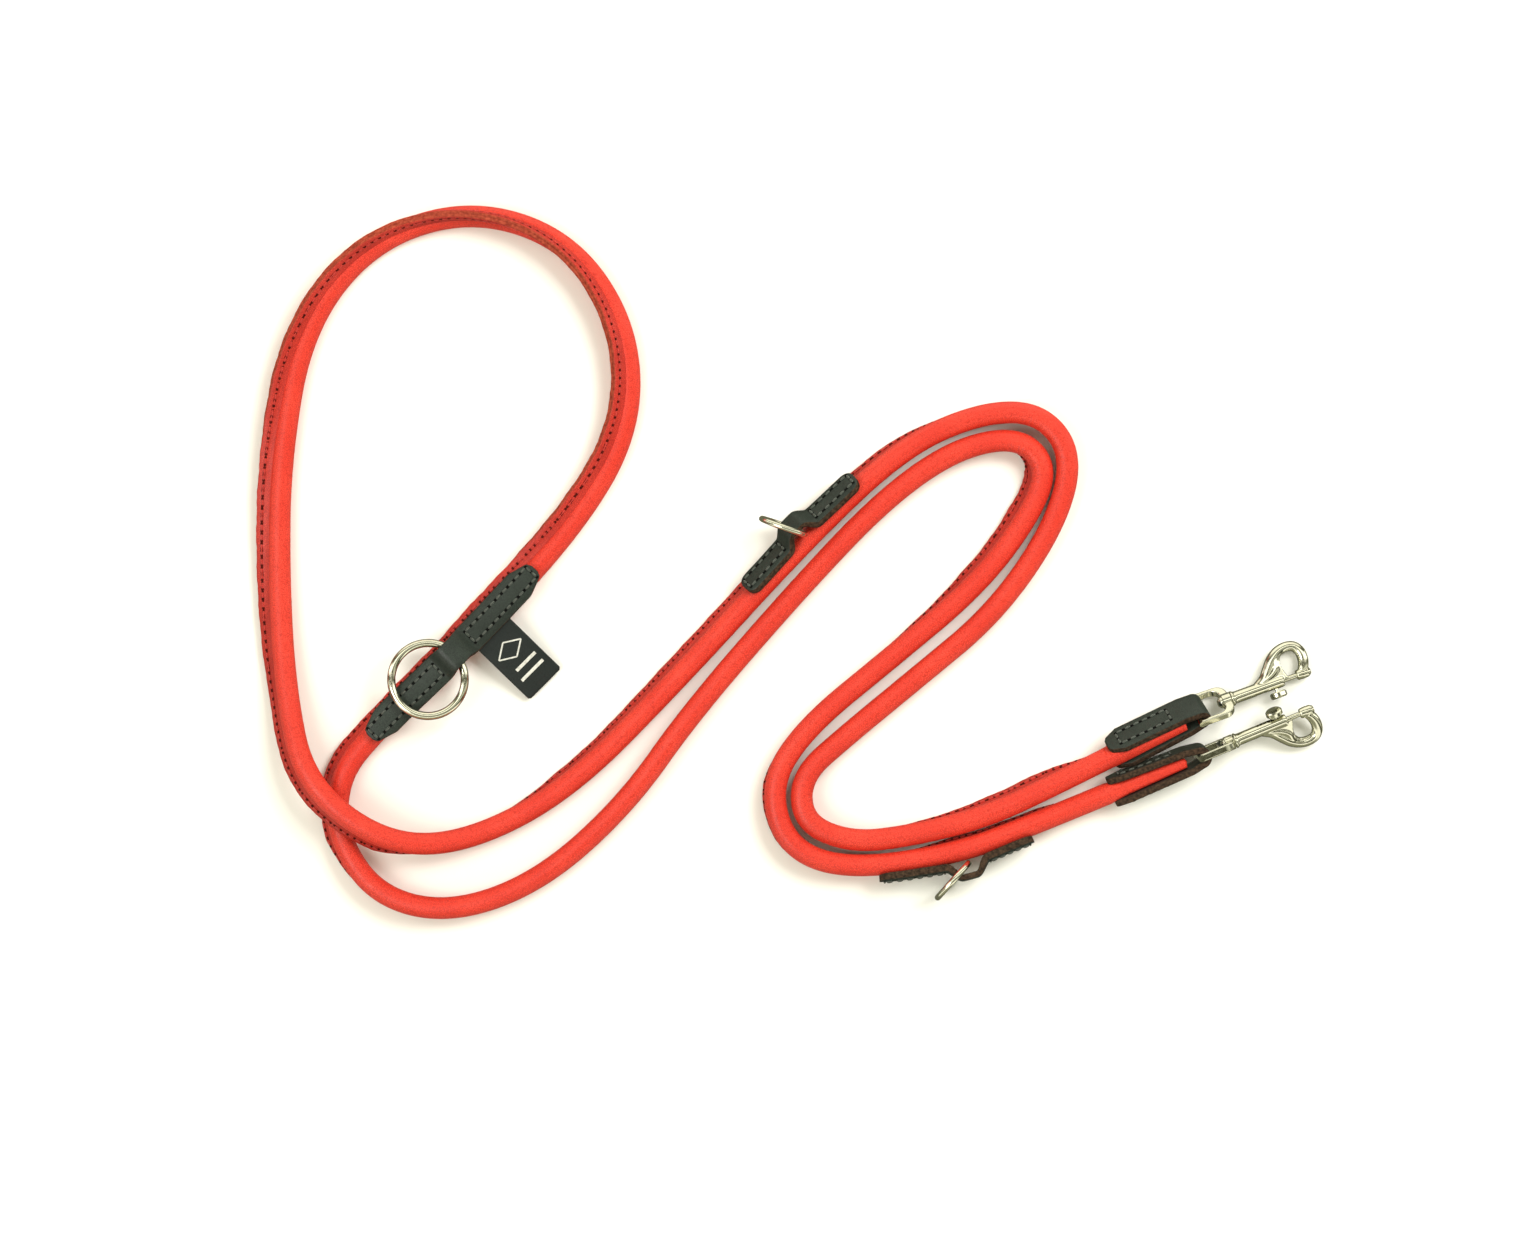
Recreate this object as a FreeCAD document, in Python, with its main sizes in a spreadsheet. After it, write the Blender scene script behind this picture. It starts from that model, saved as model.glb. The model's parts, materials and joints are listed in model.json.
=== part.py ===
import FreeCAD, Part
import math
import os

import Sketcher

# Training leash: one rolled leather line with a swivel snap at each end and three ring keepers along it.
# Millimetres, +Z up. The leash lies on the plane z = 0 and the origin is at the middle of its hardware.

Vector = FreeCAD.Vector
X_AXIS = Vector(1, 0, 0)
Y_AXIS = Vector(0, 1, 0)
Z_AXIS = Vector(0, 0, 1)

# ---------------------------------------------------------------- driving dimensions

DIMENSIONS = {
    # rolled leather line
    "line_radius": 4.4,
    "core_radius": 3.2,
    "core_gap": 0.02,
    # keeper straps and their tunnels
    "strap_thick": 3.0,
    "strap_lift": 0.1,
    "tunnel_height": 4.9,
    "tunnel_roof": 3.9,
    "tunnel_foot": 5.6,
    "roof_offset": 2.06,
    "tunnel_corner": 0.6,
    "keeper_1_half": 6.3,
    "keeper_2_half": 5.5,
    "keeper_3_half": 5.5,
    "keeper_1_tail": 47.0,
    "keeper_1_head": 47.0,
    "keeper_2_tail": 31.0,
    "keeper_2_head": 31.0,
    "keeper_3_tail": 28.0,
    "keeper_3_head": 34.0,
    "keeper_1_head_drop": 0.0,
    "keeper_1_tail_drop": 0.0,
    "keeper_2_head_drop": 0.4,
    "keeper_2_tail_drop": 0.4,
    "keeper_3_head_drop": 2.5,
    "keeper_3_tail_drop": 1.4,
    "corner_radius": 4.0,
    "taper_length": 9.0,
    "taper_end_half": 3.4,
    # stitched boxes
    "thread_width": 0.7,
    "thread_thick": 0.35,
    "box_width": 6.4,
    "box_from_tunnel": 1.0,
    "box_from_end": 1.6,
    "box_lift": 0.02,
    "tab_box_length": 22.0,
    "tab_box_shift": -1.0,
    # rings
    "ring_1_radius": 14.6,
    "ring_1_wire": 1.65,
    "ring_2_radius": 9.2,
    "ring_2_wire": 1.2,
    # side label
    "label_length": 30.5,
    "label_half": 9.0,
    "label_along": -16.4,
    "label_under": 4.45,
    "label_fall": 13.5,
    "label_thick": 0.8,
    "label_corner": 1.5,
    # folded tabs
    "tab_half": 6.3,
    "tab_end_half": 3.3,
    "tab_length": 38.0,
    "tab_inner": 1.5,
    "tab_outer": 4.5,
    "tab_neck": 5.0,
    "tab_neck_inner": 2.4,
    "tab_neck_outer": 5.4,
    "tab_mouth_inner": 3.5,
    "tab_mouth_outer": 6.1,
    "tab_taper": 6.0,
    # flattened ends of the line inside the tabs
    "tongue_start": 7.0,
    "tongue_thick": 4.6,
    "tongue_mouth": 6.8,
    "tongue_reach": 1.0,
    "tongue_width": 8.8,
    # swivel eye
    "eye_bar_x": 15.2,
    "eye_bar_radius": 1.4,
    "eye_half_width": 8.2,
    "eye_inner_half": 6.6,
    "eye_thick": 3.2,
    "eye_end": 0.3,
    "eye_wall": 3.3,
    "eye_hub_radius": 3.1,
    "eye_outer_corner": 4.6,
    "eye_inner_corner": 3.6,
    # swivel rivet
    "rivet_radius": 1.2,
    "rivet_clearance": 0.07,
    "rivet_head_radius": 2.4,
    "rivet_head_thick": 1.9,
    "rivet_tail": 1.6,
    # snap body
    "barrel_radius": 2.5,
    "barrel_length": 22.8,
    "flange_radius": 3.2,
    "flange_length": 1.1,
    "chamber_radius": 1.7,
    "chamber_start": 2.2,
    "chamber_end": 20.5,
    "hook_thick": 4.2,
    "hook_fillet": 1.2,
    "jaw_fillet": 0.7,
    "hook_top_x": 30.3,
    "hook_top_y": 8.7,
    "hook_top_radius": 6.0,
    "hook_nose_x": 32.0,
    "hook_nose_y": 2.4,
    "hook_nose_radius": 4.3,
    "jaw_x": 28.7,
    "jaw_y": 8.3,
    "jaw_radius": 3.3,
    "web_start": 10.5,
    "web_foot": 1.2,
    "tip_radius": 2.3,
    "tip_start": 31.5,
    "tip_end": 35.6,
    "tip_chamfer": 1.0,
    "cup_end": 33.0,
    "slot_start": 10.4,
    "slot_end": 19.9,
    "slot_half_width": 0.95,
    # bolt, thumb knob and spring
    "bolt_radius": 1.05,
    "bolt_clearance": 0.05,
    "bolt_end": 32.3,
    "piston_start": 17.4,
    "piston_end": 20.4,
    "piston_radius": 1.65,
    "knob_x": 18.9,
    "stem_radius": 0.8,
    "knob_under": 3.6,
    "knob_top": 6.1,
    "knob_radius": 3.4,
    "knob_edge": 0.5,
    "spring_radius": 1.25,
    "spring_wire": 0.22,
    "spring_start": 2.5,
    "spring_end": 17.1,
    "spring_turns": 9.0,
}

DOC = FreeCAD.newDocument("training_leash")
SHEET = DOC.addObject("Spreadsheet::Sheet", "dimensions")
for row, (alias, value) in enumerate(DIMENSIONS.items(), start=1):
    SHEET.set("A%d" % row, alias)
    SHEET.set("B%d" % row, str(value))
    SHEET.setAlias("B%d" % row, alias)
DOC.recompute()

SUB_PARTS = []


def size(alias):
    """The sheet's value, for placements and initial sketch geometry."""
    return float(getattr(SHEET, alias))


def evaluate(expression):
    """Sum of signed terms such as '-tunnel_foot - roof_offset + 2'."""
    total = 0.0
    sign = 1.0
    for token in expression.replace("-", " - ").replace("+", " + ").split():
        if token == "-":
            sign = -1.0
        elif token == "+":
            sign = 1.0
        else:
            total += sign * (size(token) if token in DIMENSIONS else float(token))
            sign = 1.0
    return total


def bound(expression):
    """The same expression with each alias read from the sheet."""
    words = expression.replace("-", " - ").replace("+", " + ").split()
    return " ".join("dimensions." + word if word in DIMENSIONS else word for word in words)


def bind(thing, prop, expression):
    thing.setExpression(prop, bound(expression))


def sub_part(thing, label, placement=None):
    """Registers an object as a named sub-part and places it."""
    thing.Label = label
    if placement is not None:
        thing.Placement = placement
    SUB_PARTS.append(thing)
    return thing


# ---------------------------------------------------------------- sketch helpers

def plane_of(body, role):
    for feature in body.Origin.OriginFeatures:
        if feature.Role == role:
            return feature
    raise ValueError(role)


def new_body(name):
    return DOC.addObject("PartDesign::Body", name)


def new_sketch(body, role, name):
    sketch = body.newObject("Sketcher::SketchObject", name)
    sketch.AttachmentSupport = (plane_of(body, role), [""])
    sketch.MapMode = "FlatFace"
    return sketch


def fix_point(sketch, geometry, position, x_term, y_term):
    """Ties a point's two coordinates to the sheet."""
    for kind, term, axis in (("DistanceX", x_term, -2), ("DistanceY", y_term, -1)):
        value = evaluate(term)
        if value == 0:
            sketch.addConstraint(Sketcher.Constraint("PointOnObject", geometry, position, axis))
            continue
        index = sketch.addConstraint(Sketcher.Constraint(kind, -1, 1, geometry, position, value))
        bind(sketch, "Constraints[%d]" % index, term)


def outline(sketch, points):
    """Closed outline of straight edges; every corner is an (x, y) pair of expressions."""
    corners = [Vector(evaluate(x), evaluate(y), 0) for x, y in points]
    indices = [sketch.addGeometry(Part.LineSegment(start, end), False)
               for start, end in zip(corners, corners[1:] + corners[:1])]
    for here, after in zip(indices, indices[1:] + indices[:1]):
        sketch.addConstraint(Sketcher.Constraint("Coincident", here, 2, after, 1))
    for index, (x, y) in zip(indices, points):
        fix_point(sketch, index, 1, x, y)


def open_outline(sketch, points):
    """Chain of straight edges through the given corners."""
    corners = [Vector(evaluate(x), evaluate(y), 0) for x, y in points]
    chain = [sketch.addGeometry(Part.LineSegment(here, after), False)
             for here, after in zip(corners, corners[1:])]
    for here, after in zip(chain, chain[1:]):
        sketch.addConstraint(Sketcher.Constraint("Coincident", here, 2, after, 1))
    for index, (x, y) in zip(chain, points):
        fix_point(sketch, index, 1, x, y)
    fix_point(sketch, chain[-1], 2, *points[-1])
    return chain


def circle(sketch, x, y, radius):
    centre = Vector(evaluate(x), evaluate(y), 0)
    index = sketch.addGeometry(Part.Circle(centre, Z_AXIS, evaluate(radius)), False)
    fix_point(sketch, index, 3, x, y)
    radius_index = sketch.addConstraint(Sketcher.Constraint("Radius", index, evaluate(radius)))
    bind(sketch, "Constraints[%d]" % radius_index, radius)


def pad(body, sketch, name, length, midplane=True):
    feature = body.newObject("PartDesign::Pad", name)
    feature.Profile = sketch
    bind(feature, "Length", length)
    feature.Midplane = midplane
    body.Tip = feature
    DOC.recompute()
    return feature


def pocket_through(body, sketch, name):
    feature = body.newObject("PartDesign::Pocket", name)
    feature.Profile = sketch
    feature.Type = "ThroughAll"
    feature.Midplane = True
    before = body.Shape.Volume
    body.Tip = feature
    DOC.recompute()
    if body.Shape.Volume >= before - 0.1:
        raise RuntimeError(name + " cuts nothing")
    return feature


def revolve(body, sketch, name, kind, axis):
    feature = body.newObject("PartDesign::" + kind, name)
    feature.Profile = sketch
    feature.ReferenceAxis = (sketch, [axis])
    feature.Angle = 360.0
    body.Tip = feature
    DOC.recompute()
    return feature


def edges_where(shape, test):
    return ["Edge%d" % (i + 1) for i, edge in enumerate(shape.Edges) if test(edge)]


def fillet(body, base, name, edges, radius):
    feature = body.newObject("PartDesign::Fillet", name)
    feature.Base = (base, edges)
    bind(feature, "Radius", radius)
    body.Tip = feature
    DOC.recompute()
    return feature


def is_along(edge, axis):
    if edge.Curve.TypeId != "Part::GeomLine":
        return False
    return abs(abs(edge.Curve.Direction.dot(axis)) - 1) < 1e-6


def frame(position, x_axis, z_axis):
    """Placement whose local X and Z point along the given directions."""
    x_dir = Vector(x_axis).normalize()
    y_dir = Vector(z_axis).cross(x_dir).normalize()
    z_dir = x_dir.cross(y_dir)
    return FreeCAD.Placement(Vector(position), FreeCAD.Rotation(x_dir, y_dir, z_dir, "XYZ"))


def turn(axis, degrees):
    return FreeCAD.Placement(Vector(), FreeCAD.Rotation(axis, degrees))


def shift(x, y=0.0, z=0.0):
    return FreeCAD.Placement(Vector(x, y, z), FreeCAD.Rotation())


# ---------------------------------------------------------------- rolled leather line

# Corners of the line's route, from the mouth of tab a to the mouth of tab b.
ROUTE = [
    (104, -30, 10.1), (84.5, -39.8, 9.9), (55, -54, 8.5), (24, -61.5, 8.4), (1, -64, 8.4),
    (-18, -56, 8.4), (-19, -37.5, 8.4), (-1, -21.5, 8.4), (27, 1.5, 8.4), (59, 28, 8.4),
    (83, 63, 8.4), (90, 91, 8.4), (77, 108, 8.4), (53, 108, 8.4), (21.5, 94, 8), (-17, 57.5, 7.4),
    (-69, 0.5, 7.4), (-113, -44, 7.8), (-155, -65, 9), (-186.5, -63.5, 16.3), (-216.5, -40, 16.3),
    (-225, -3, 8), (-228, 41, 4.6), (-227.5, 89, 4.5), (-218.5, 142, 4.5), (-191.5, 177, 4.5),
    (-151, 190, 4.5), (-111.5, 177, 4.5), (-88, 142, 4.5), (-87, 101, 4.5), (-110.5, 61, 4.5),
    (-157, 11.5, 5.4), (-188, -18, 5.9), (-204, -37.5, 6.2), (-204.5, -62, 6.4),
    (-188.5, -85.5, 7.6), (-159, -92.5, 8.4), (-123, -79.5, 8.4), (-88.5, -48.5, 8.4),
    (-62.5, -11.5, 8.4), (-18, 39.5, 8.4), (15, 74, 8.4), (43, 93.5, 8.4), (68, 98.5, 8),
    (80, 86.5, 7.4), (73, 67, 7.2), (51.5, 38.5, 7.4), (16, 9, 8), (-17, -18, 8.2),
    (-31.5, -41, 8), (-24.5, -66, 8.2), (0, -75, 8.4), (43.5, -68.5, 8.7), (74.6, -56.5, 8.6),
    (104.1, -44.3, 8.7),
]
KEEPER_CORNERS = {1: 31, 2: 15, 3: 52}


def route_wire():
    """Straight runs joined by tangent arcs; each arc is as large as its two runs allow."""
    corners = [Vector(*point) for point in ROUTE]
    edges = []
    radii = []
    start = corners[0]
    for before, corner, after in zip(corners, corners[1:], corners[2:]):
        towards = corner - before
        away = after - corner
        reach = 0.45 * min(towards.Length, away.Length)
        turn_angle = towards.getAngle(away)
        radius = reach / math.tan(turn_angle / 2)
        radii.append(radius)
        towards.normalize()
        away.normalize()
        arc_start = corner - towards * reach
        arc_end = corner + away * reach
        inward = (away - towards).normalize()
        middle = corner + inward * (radius / math.cos(turn_angle / 2) - radius)
        edges.append(Part.LineSegment(start, arc_start).toShape())
        edges.append(Part.Arc(arc_start, middle, arc_end).toShape())
        start = arc_end
    edges.append(Part.LineSegment(start, corners[-1]).toShape())
    return Part.Wire(edges), radii


def tube(wire, outer, inner=None):
    """Solid swept along the wire with a round or ring-shaped section."""
    start = wire.Edges[0].valueAt(wire.Edges[0].FirstParameter)
    along = wire.Edges[0].tangentAt(wire.Edges[0].FirstParameter)
    sections = [outer] if inner is None else [outer, inner]
    rims = [Part.Wire([Part.Circle(start, along, radius).toShape()]) for radius in sections]
    solids = [wire.makePipeShell([rim], True, False) for rim in rims]
    return solids[0] if inner is None else solids[0].cut(solids[1])


LINE_WIRE, LINE_RADII = route_wire()


def make_line():
    outer = size("line_radius")
    inner = size("core_radius")
    core_outer = inner - size("core_gap")
    shapes = {
        "line_cover": tube(LINE_WIRE, outer, inner),
        "line_core": tube(LINE_WIRE, core_outer),
    }
    for label, shape in shapes.items():
        thing = DOC.addObject("Part::Feature", label)
        thing.Shape = shape
        sub_part(thing, label, FreeCAD.Placement())
    print("line radii (mm):", " ".join("%.1f" % radius for radius in LINE_RADII))
    expected = math.pi * (outer ** 2 - inner ** 2) * LINE_WIRE.Length
    print("line length %.1f mm, cover volume / section x length = %.4f"
          % (LINE_WIRE.Length, shapes["line_cover"].Volume / expected))


# ---------------------------------------------------------------- ring keepers

# How far each keeper's face leans away from straight up, about the line, towards the right of travel.
KEEPER_LEAN = {1: 0.0, 2: 47.0, 3: 83.0}
# How far a keeper's tunnel is from its corner of the route, along the line.
KEEPER_SHIFT = {1: 0.0, 2: 0.0, 3: 3.0}
TAPERED_KEEPERS = (1,)


def keeper_frame(number):
    """On the line's surface under the tunnel: X along the line, Z out of the strap's face."""
    corner = KEEPER_CORNERS[number]
    here, middle, after = [Vector(*point) for point in ROUTE[corner - 1:corner + 2]]
    run = (after - middle).normalize()
    near = Part.Vertex(middle + run * KEEPER_SHIFT[number])
    distance, points, contacts = LINE_WIRE.distToShape(near)
    edge = LINE_WIRE.Edges[contacts[0][1]]
    along = edge.tangentAt(contacts[0][2]).normalize()
    side = along.cross(Z_AXIS).normalize()
    up = side.cross(along)
    lean = math.radians(KEEPER_LEAN[number])
    face = up * math.cos(lean) + side * math.sin(lean)
    base = points[0][0] + face * (size("line_radius") + size("strap_lift"))
    return frame(base, along, face)


def make_keeper(number):
    label = "keeper_%d" % number
    tail = "keeper_%d_tail" % number
    head = "keeper_%d_head" % number
    half = "keeper_%d_half" % number
    body = new_body(label + "_body")
    side_view = new_sketch(body, "XZ_Plane", label + "_side")
    outline(side_view, [
        ("-" + head, "-" + head + "_drop"),
        ("-tunnel_foot", "0"),
        ("-tunnel_roof", "tunnel_height"),
        ("tunnel_roof", "tunnel_height"),
        ("tunnel_foot", "0"),
        (tail, "-" + tail + "_drop"),
        (tail, "strap_thick - " + tail + "_drop"),
        ("tunnel_foot + roof_offset", "strap_thick"),
        ("tunnel_roof + roof_offset", "tunnel_height + strap_thick"),
        ("-tunnel_roof - roof_offset", "tunnel_height + strap_thick"),
        ("-tunnel_foot - roof_offset", "strap_thick"),
        ("-" + head, "strap_thick - " + head + "_drop"),
    ])
    strap = pad(body, side_view, label + "_strap", half + " + " + half)
    roof = size("tunnel_roof") + size("roof_offset")
    top = size("tunnel_height") + size("strap_thick")
    crests = edges_where(strap.Shape, lambda edge: is_along(edge, Y_AXIS)
                         and abs(abs(edge.CenterOfMass.x) - roof) < 0.01
                         and abs(edge.CenterOfMass.z - top) < 0.01)
    rounded = fillet(body, strap, label + "_crest", crests, "strap_thick - 0.2")
    roof_inside = size("tunnel_roof")
    inside = edges_where(rounded.Shape, lambda edge: is_along(edge, Y_AXIS)
                         and abs(abs(edge.CenterOfMass.x) - roof_inside) < 0.01)
    rounded = fillet(body, rounded, label + "_tunnel", inside, "tunnel_corner")
    foot = size("tunnel_foot") + size("roof_offset")
    outside_feet = edges_where(rounded.Shape, lambda edge: is_along(edge, Y_AXIS)
                               and abs(abs(edge.CenterOfMass.x) - foot) < 0.01)
    rounded = fillet(body, rounded, label + "_feet", outside_feet, "tab_inner")
    if number in TAPERED_KEEPERS:
        plan = new_sketch(body, "XY_Plane", label + "_plan")
        for end, inward in (("-" + head, "+ taper_length"), (tail, "- taper_length")):
            for side in ("", "-"):
                outline(plan, [
                    (end, side + half),
                    (end + " " + inward, side + half),
                    (end, side + "taper_end_half"),
                ])
        pocket_through(body, plan, label + "_tapers")
        rounded = body.Tip
    corner_length = size("strap_thick")
    ends = edges_where(rounded.Shape, lambda edge: is_along(edge, Z_AXIS)
                       and abs(edge.Length - corner_length) < 0.01
                       and abs(edge.CenterOfMass.x) > 20)
    radius = "tab_inner" if number in TAPERED_KEEPERS else "corner_radius"
    fillet(body, rounded, label + "_corners", ends, radius)
    placement = keeper_frame(number)
    sub_part(body, label, placement)
    make_stitched_boxes(number, placement)


def stitched_box(label, placement, length, x, z, width="box_width"):
    """Thread laid round a box on a strap's face: an outer block less an inner block."""
    blocks = []
    for suffix, less in (("_outer", 0.0), ("_inner", 2.0)):
        block = DOC.addObject("Part::Box", label + suffix)
        block.setExpression("Length", "%s - %s * dimensions.thread_width" % (length, less))
        block.setExpression("Width", "dimensions.%s - %s * dimensions.thread_width" % (width, less))
        block.setExpression("Height", "dimensions.thread_thick * %s" % (1.0 if less == 0 else 3.0))
        long_side = length - less * size("thread_width")
        short_side = size(width) - less * size("thread_width")
        lift = 0.0 if less == 0 else -size("thread_thick")
        block.Placement = shift(-long_side / 2, -short_side / 2, lift)
        blocks.append(block)
    thread = DOC.addObject("Part::Cut", label)
    thread.Base, thread.Tool = blocks
    sub_part(thread, label, placement * shift(x, 0, z))
    return thread


def make_stitched_boxes(number, placement):
    """A box on each side of the tunnel, lying along the strap as it falls away towards its end."""
    foot = size("tunnel_foot") + size("roof_offset")
    for side, sign in (("head", -1), ("tail", 1)):
        reach = size("keeper_%d_%s" % (number, side))
        drop = size("keeper_%d_%s_drop" % (number, side))
        fall = math.degrees(math.atan2(drop, reach - foot))
        start = placement * shift(sign * foot, 0, size("strap_thick")) * turn(Y_AXIS, sign * fall)
        near = size("box_from_tunnel")
        length = reach - foot - near - size("box_from_end")
        middle = sign * (near + length / 2)
        stitched_box("keeper_%d_thread_%s" % (number, side), start, length, middle, size("box_lift"))


# ---------------------------------------------------------------- rings

# Where each ring lies in its tunnel, in the keeper's own frame: along the tunnel, height of the wire,
# slant of the wire across the strap, swing of the ring about the wire (0 = lying towards the tail).
RING_POSE = {
    1: {"along": 0.3, "across": 0.0, "height": 1.7, "slant": 0.0, "swing": 7.0},
    2: {"along": -0.3, "across": 0.0, "height": 1.35, "slant": 15.0, "swing": 70.0},
    3: {"along": 0.4, "across": 0.3, "height": 1.35, "slant": -4.0, "swing": 148.0},
}


def ring_frame(number):
    """At the wire inside the tunnel: Y along the wire, X towards the ring's centre."""
    pose = RING_POSE[number]
    place = keeper_frame(number)
    place = place * shift(pose["along"], pose["across"], pose["height"] - size("strap_lift"))
    place = place * turn(Z_AXIS, pose["slant"])
    return place * turn(Y_AXIS, -pose["swing"])


def make_ring(number):
    kind = "ring_1" if number == 1 else "ring_2"
    ring = DOC.addObject("Part::Torus", "ring_%d_wire" % number)
    bind(ring, "Radius1", kind + "_radius")
    bind(ring, "Radius2", kind + "_wire")
    place = ring_frame(number) * shift(size(kind + "_radius"))
    sub_part(ring, "ring_%d" % number, place)


# ---------------------------------------------------------------- side label

def make_label():
    body = new_body("side_label_body")
    plan = new_sketch(body, "XY_Plane", "side_label_plan")
    outline(plan, [
        ("0", "-label_half"),
        ("label_length", "-label_half"),
        ("label_length", "label_half"),
        ("0", "label_half"),
    ])
    sheet = pad(body, plan, "side_label_sheet", "label_thick")
    corners = edges_where(sheet.Shape, lambda edge: is_along(edge, Z_AXIS) and edge.CenterOfMass.x > 1)
    fillet(body, sheet, "side_label_corners", corners, "label_corner")
    keeper = keeper_frame(1)
    depth = -(size("label_thick") + size("strap_lift")) / 2
    under = keeper * shift(size("label_along"), size("label_under"), depth)
    outward = keeper.Rotation.multVec(Y_AXIS)
    along = keeper.Rotation.multVec(X_AXIS)
    fall = math.radians(size("label_fall"))
    direction = outward * math.cos(fall) - Z_AXIS * math.sin(fall)
    sub_part(body, "side_label", frame(under.Base, direction, along.cross(direction) * -1))


# ---------------------------------------------------------------- hook ends

# Plan direction and height of each hook end. The tab is rolled about its own axis, the eye swings in the
# fold of the tab and the snap turns on its swivel; these angles are the pose in which the leash lies.
HOOKS = {
    "a": {"bar": (138.9, -11.7, 9.1), "yaw": 26.5, "roll": 48.0, "swing": 9.4, "swivel": 43.0},
    "b": {"bar": (140.3, -29.3, 8.7), "yaw": 22.5, "roll": 83.0, "swing": 0.0, "swivel": -75.0},
}

# How far across its tab each flattened end of the line sits.
TONGUE_OFFSET = {"a": -1.5, "b": 0.0}


def tab_frame(side):
    """At the eye's bar: X along the tab towards the snap, Y across the strap, Z out of its face."""
    hook = HOOKS[side]
    place = FreeCAD.Placement(Vector(*hook["bar"]), FreeCAD.Rotation())
    return place * turn(Z_AXIS, hook["yaw"]) * turn(X_AXIS, -hook["roll"])


def eye_frame(side):
    """At the swivel end of the eye, X along the snap."""
    swing = turn(Y_AXIS, HOOKS[side]["swing"])
    return tab_frame(side) * swing * shift(size("eye_bar_x"))


def snap_frame(side):
    """At the swivel end of the snap: X along the bolt, Y towards the hook."""
    return eye_frame(side) * turn(X_AXIS, HOOKS[side]["swivel"])


def make_tab(side):
    label = "hook_tab_" + side
    body = new_body(label + "_body")
    fold = new_sketch(body, "XZ_Plane", label + "_fold")
    leg = [
        ("0", "tab_inner"),
        ("-tab_neck", "tab_neck_inner"),
        ("-tab_length", "tab_mouth_inner"),
        ("-tab_length", "tab_mouth_outer"),
        ("-tab_neck", "tab_neck_outer"),
        ("0", "tab_outer"),
    ]
    upper = open_outline(fold, leg)
    lower = open_outline(fold, [(x, "-" + y) for x, y in leg])
    for radius, place in (("tab_inner", "start"), ("tab_outer", "end")):
        bend = Part.ArcOfCircle(Part.Circle(Vector(), Z_AXIS, size(radius)), -math.pi / 2, math.pi / 2)
        index = fold.addGeometry(bend, False)
        piece, position = (0, 1) if place == "start" else (-1, 2)
        fold.addConstraint(Sketcher.Constraint("Coincident", index, 1, lower[piece], position))
        fold.addConstraint(Sketcher.Constraint("Coincident", index, 2, upper[piece], position))
        fold.addConstraint(Sketcher.Constraint("PointOnObject", index, 3, -2))
    pad(body, fold, label + "_strap", "tab_half + tab_half")
    plan = new_sketch(body, "XY_Plane", label + "_plan")
    for sign in ("", "-"):
        outline(plan, [
            ("-tab_length - 1", sign + "tab_end_half"),
            ("-tab_length", sign + "tab_end_half"),
            ("-tab_length + tab_taper", sign + "tab_half"),
            ("-tab_length - 1", sign + "tab_half"),
        ])
    pocket_through(body, plan, label + "_tapers")
    sub_part(body, label, tab_frame(side))
    for face, sign in (("front", 1), ("back", -1)):
        make_tab_thread(side, face, sign)


def make_tab_thread(side, face, sign):
    """A stitched box lying on the outer face of one leg."""
    rise = size("tab_mouth_outer") - size("tab_neck_outer")
    run = size("tab_length") - size("tab_neck")
    slope = math.degrees(math.atan2(rise, run))
    middle = -(size("tab_length") + size("tab_neck")) / 2
    height = (size("tab_mouth_outer") + size("tab_neck_outer")) / 2
    flip = turn(X_AXIS, 0 if sign > 0 else 180)
    leg = tab_frame(side) * flip * shift(middle, 0, height) * turn(Y_AXIS, slope)
    stitched_box("hook_tab_%s_thread_%s" % (side, face), leg,
                 size("tab_box_length"), size("tab_box_shift"), 0.0)


def make_tongue(side):
    """The line's flattened end: a wedge that widens from the fold to the tab's mouth."""
    label = "line_tongue_" + side
    wedge = DOC.addObject("Part::Wedge", label)
    wedge.setExpression("Ymax", "dimensions.tab_length + dimensions.tongue_reach - dimensions.tongue_start")
    wedge.Ymin = 0
    wedge.Xmin = 0
    wedge.setExpression("Xmax", "dimensions.tongue_width")
    wedge.X2min = 0
    wedge.setExpression("X2max", "dimensions.tongue_width")
    wedge.Zmin = 0
    wedge.setExpression("Zmax", "dimensions.tongue_thick")
    wedge.setExpression("Z2min", "(dimensions.tongue_thick - dimensions.tongue_mouth) / 2")
    wedge.setExpression("Z2max", "(dimensions.tongue_thick + dimensions.tongue_mouth) / 2")
    offset = TONGUE_OFFSET[side]
    start = shift(-size("tongue_start"), offset - size("tongue_width") / 2, -size("tongue_thick") / 2)
    sub_part(wedge, label, tab_frame(side) * start * turn(Z_AXIS, 90))


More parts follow.
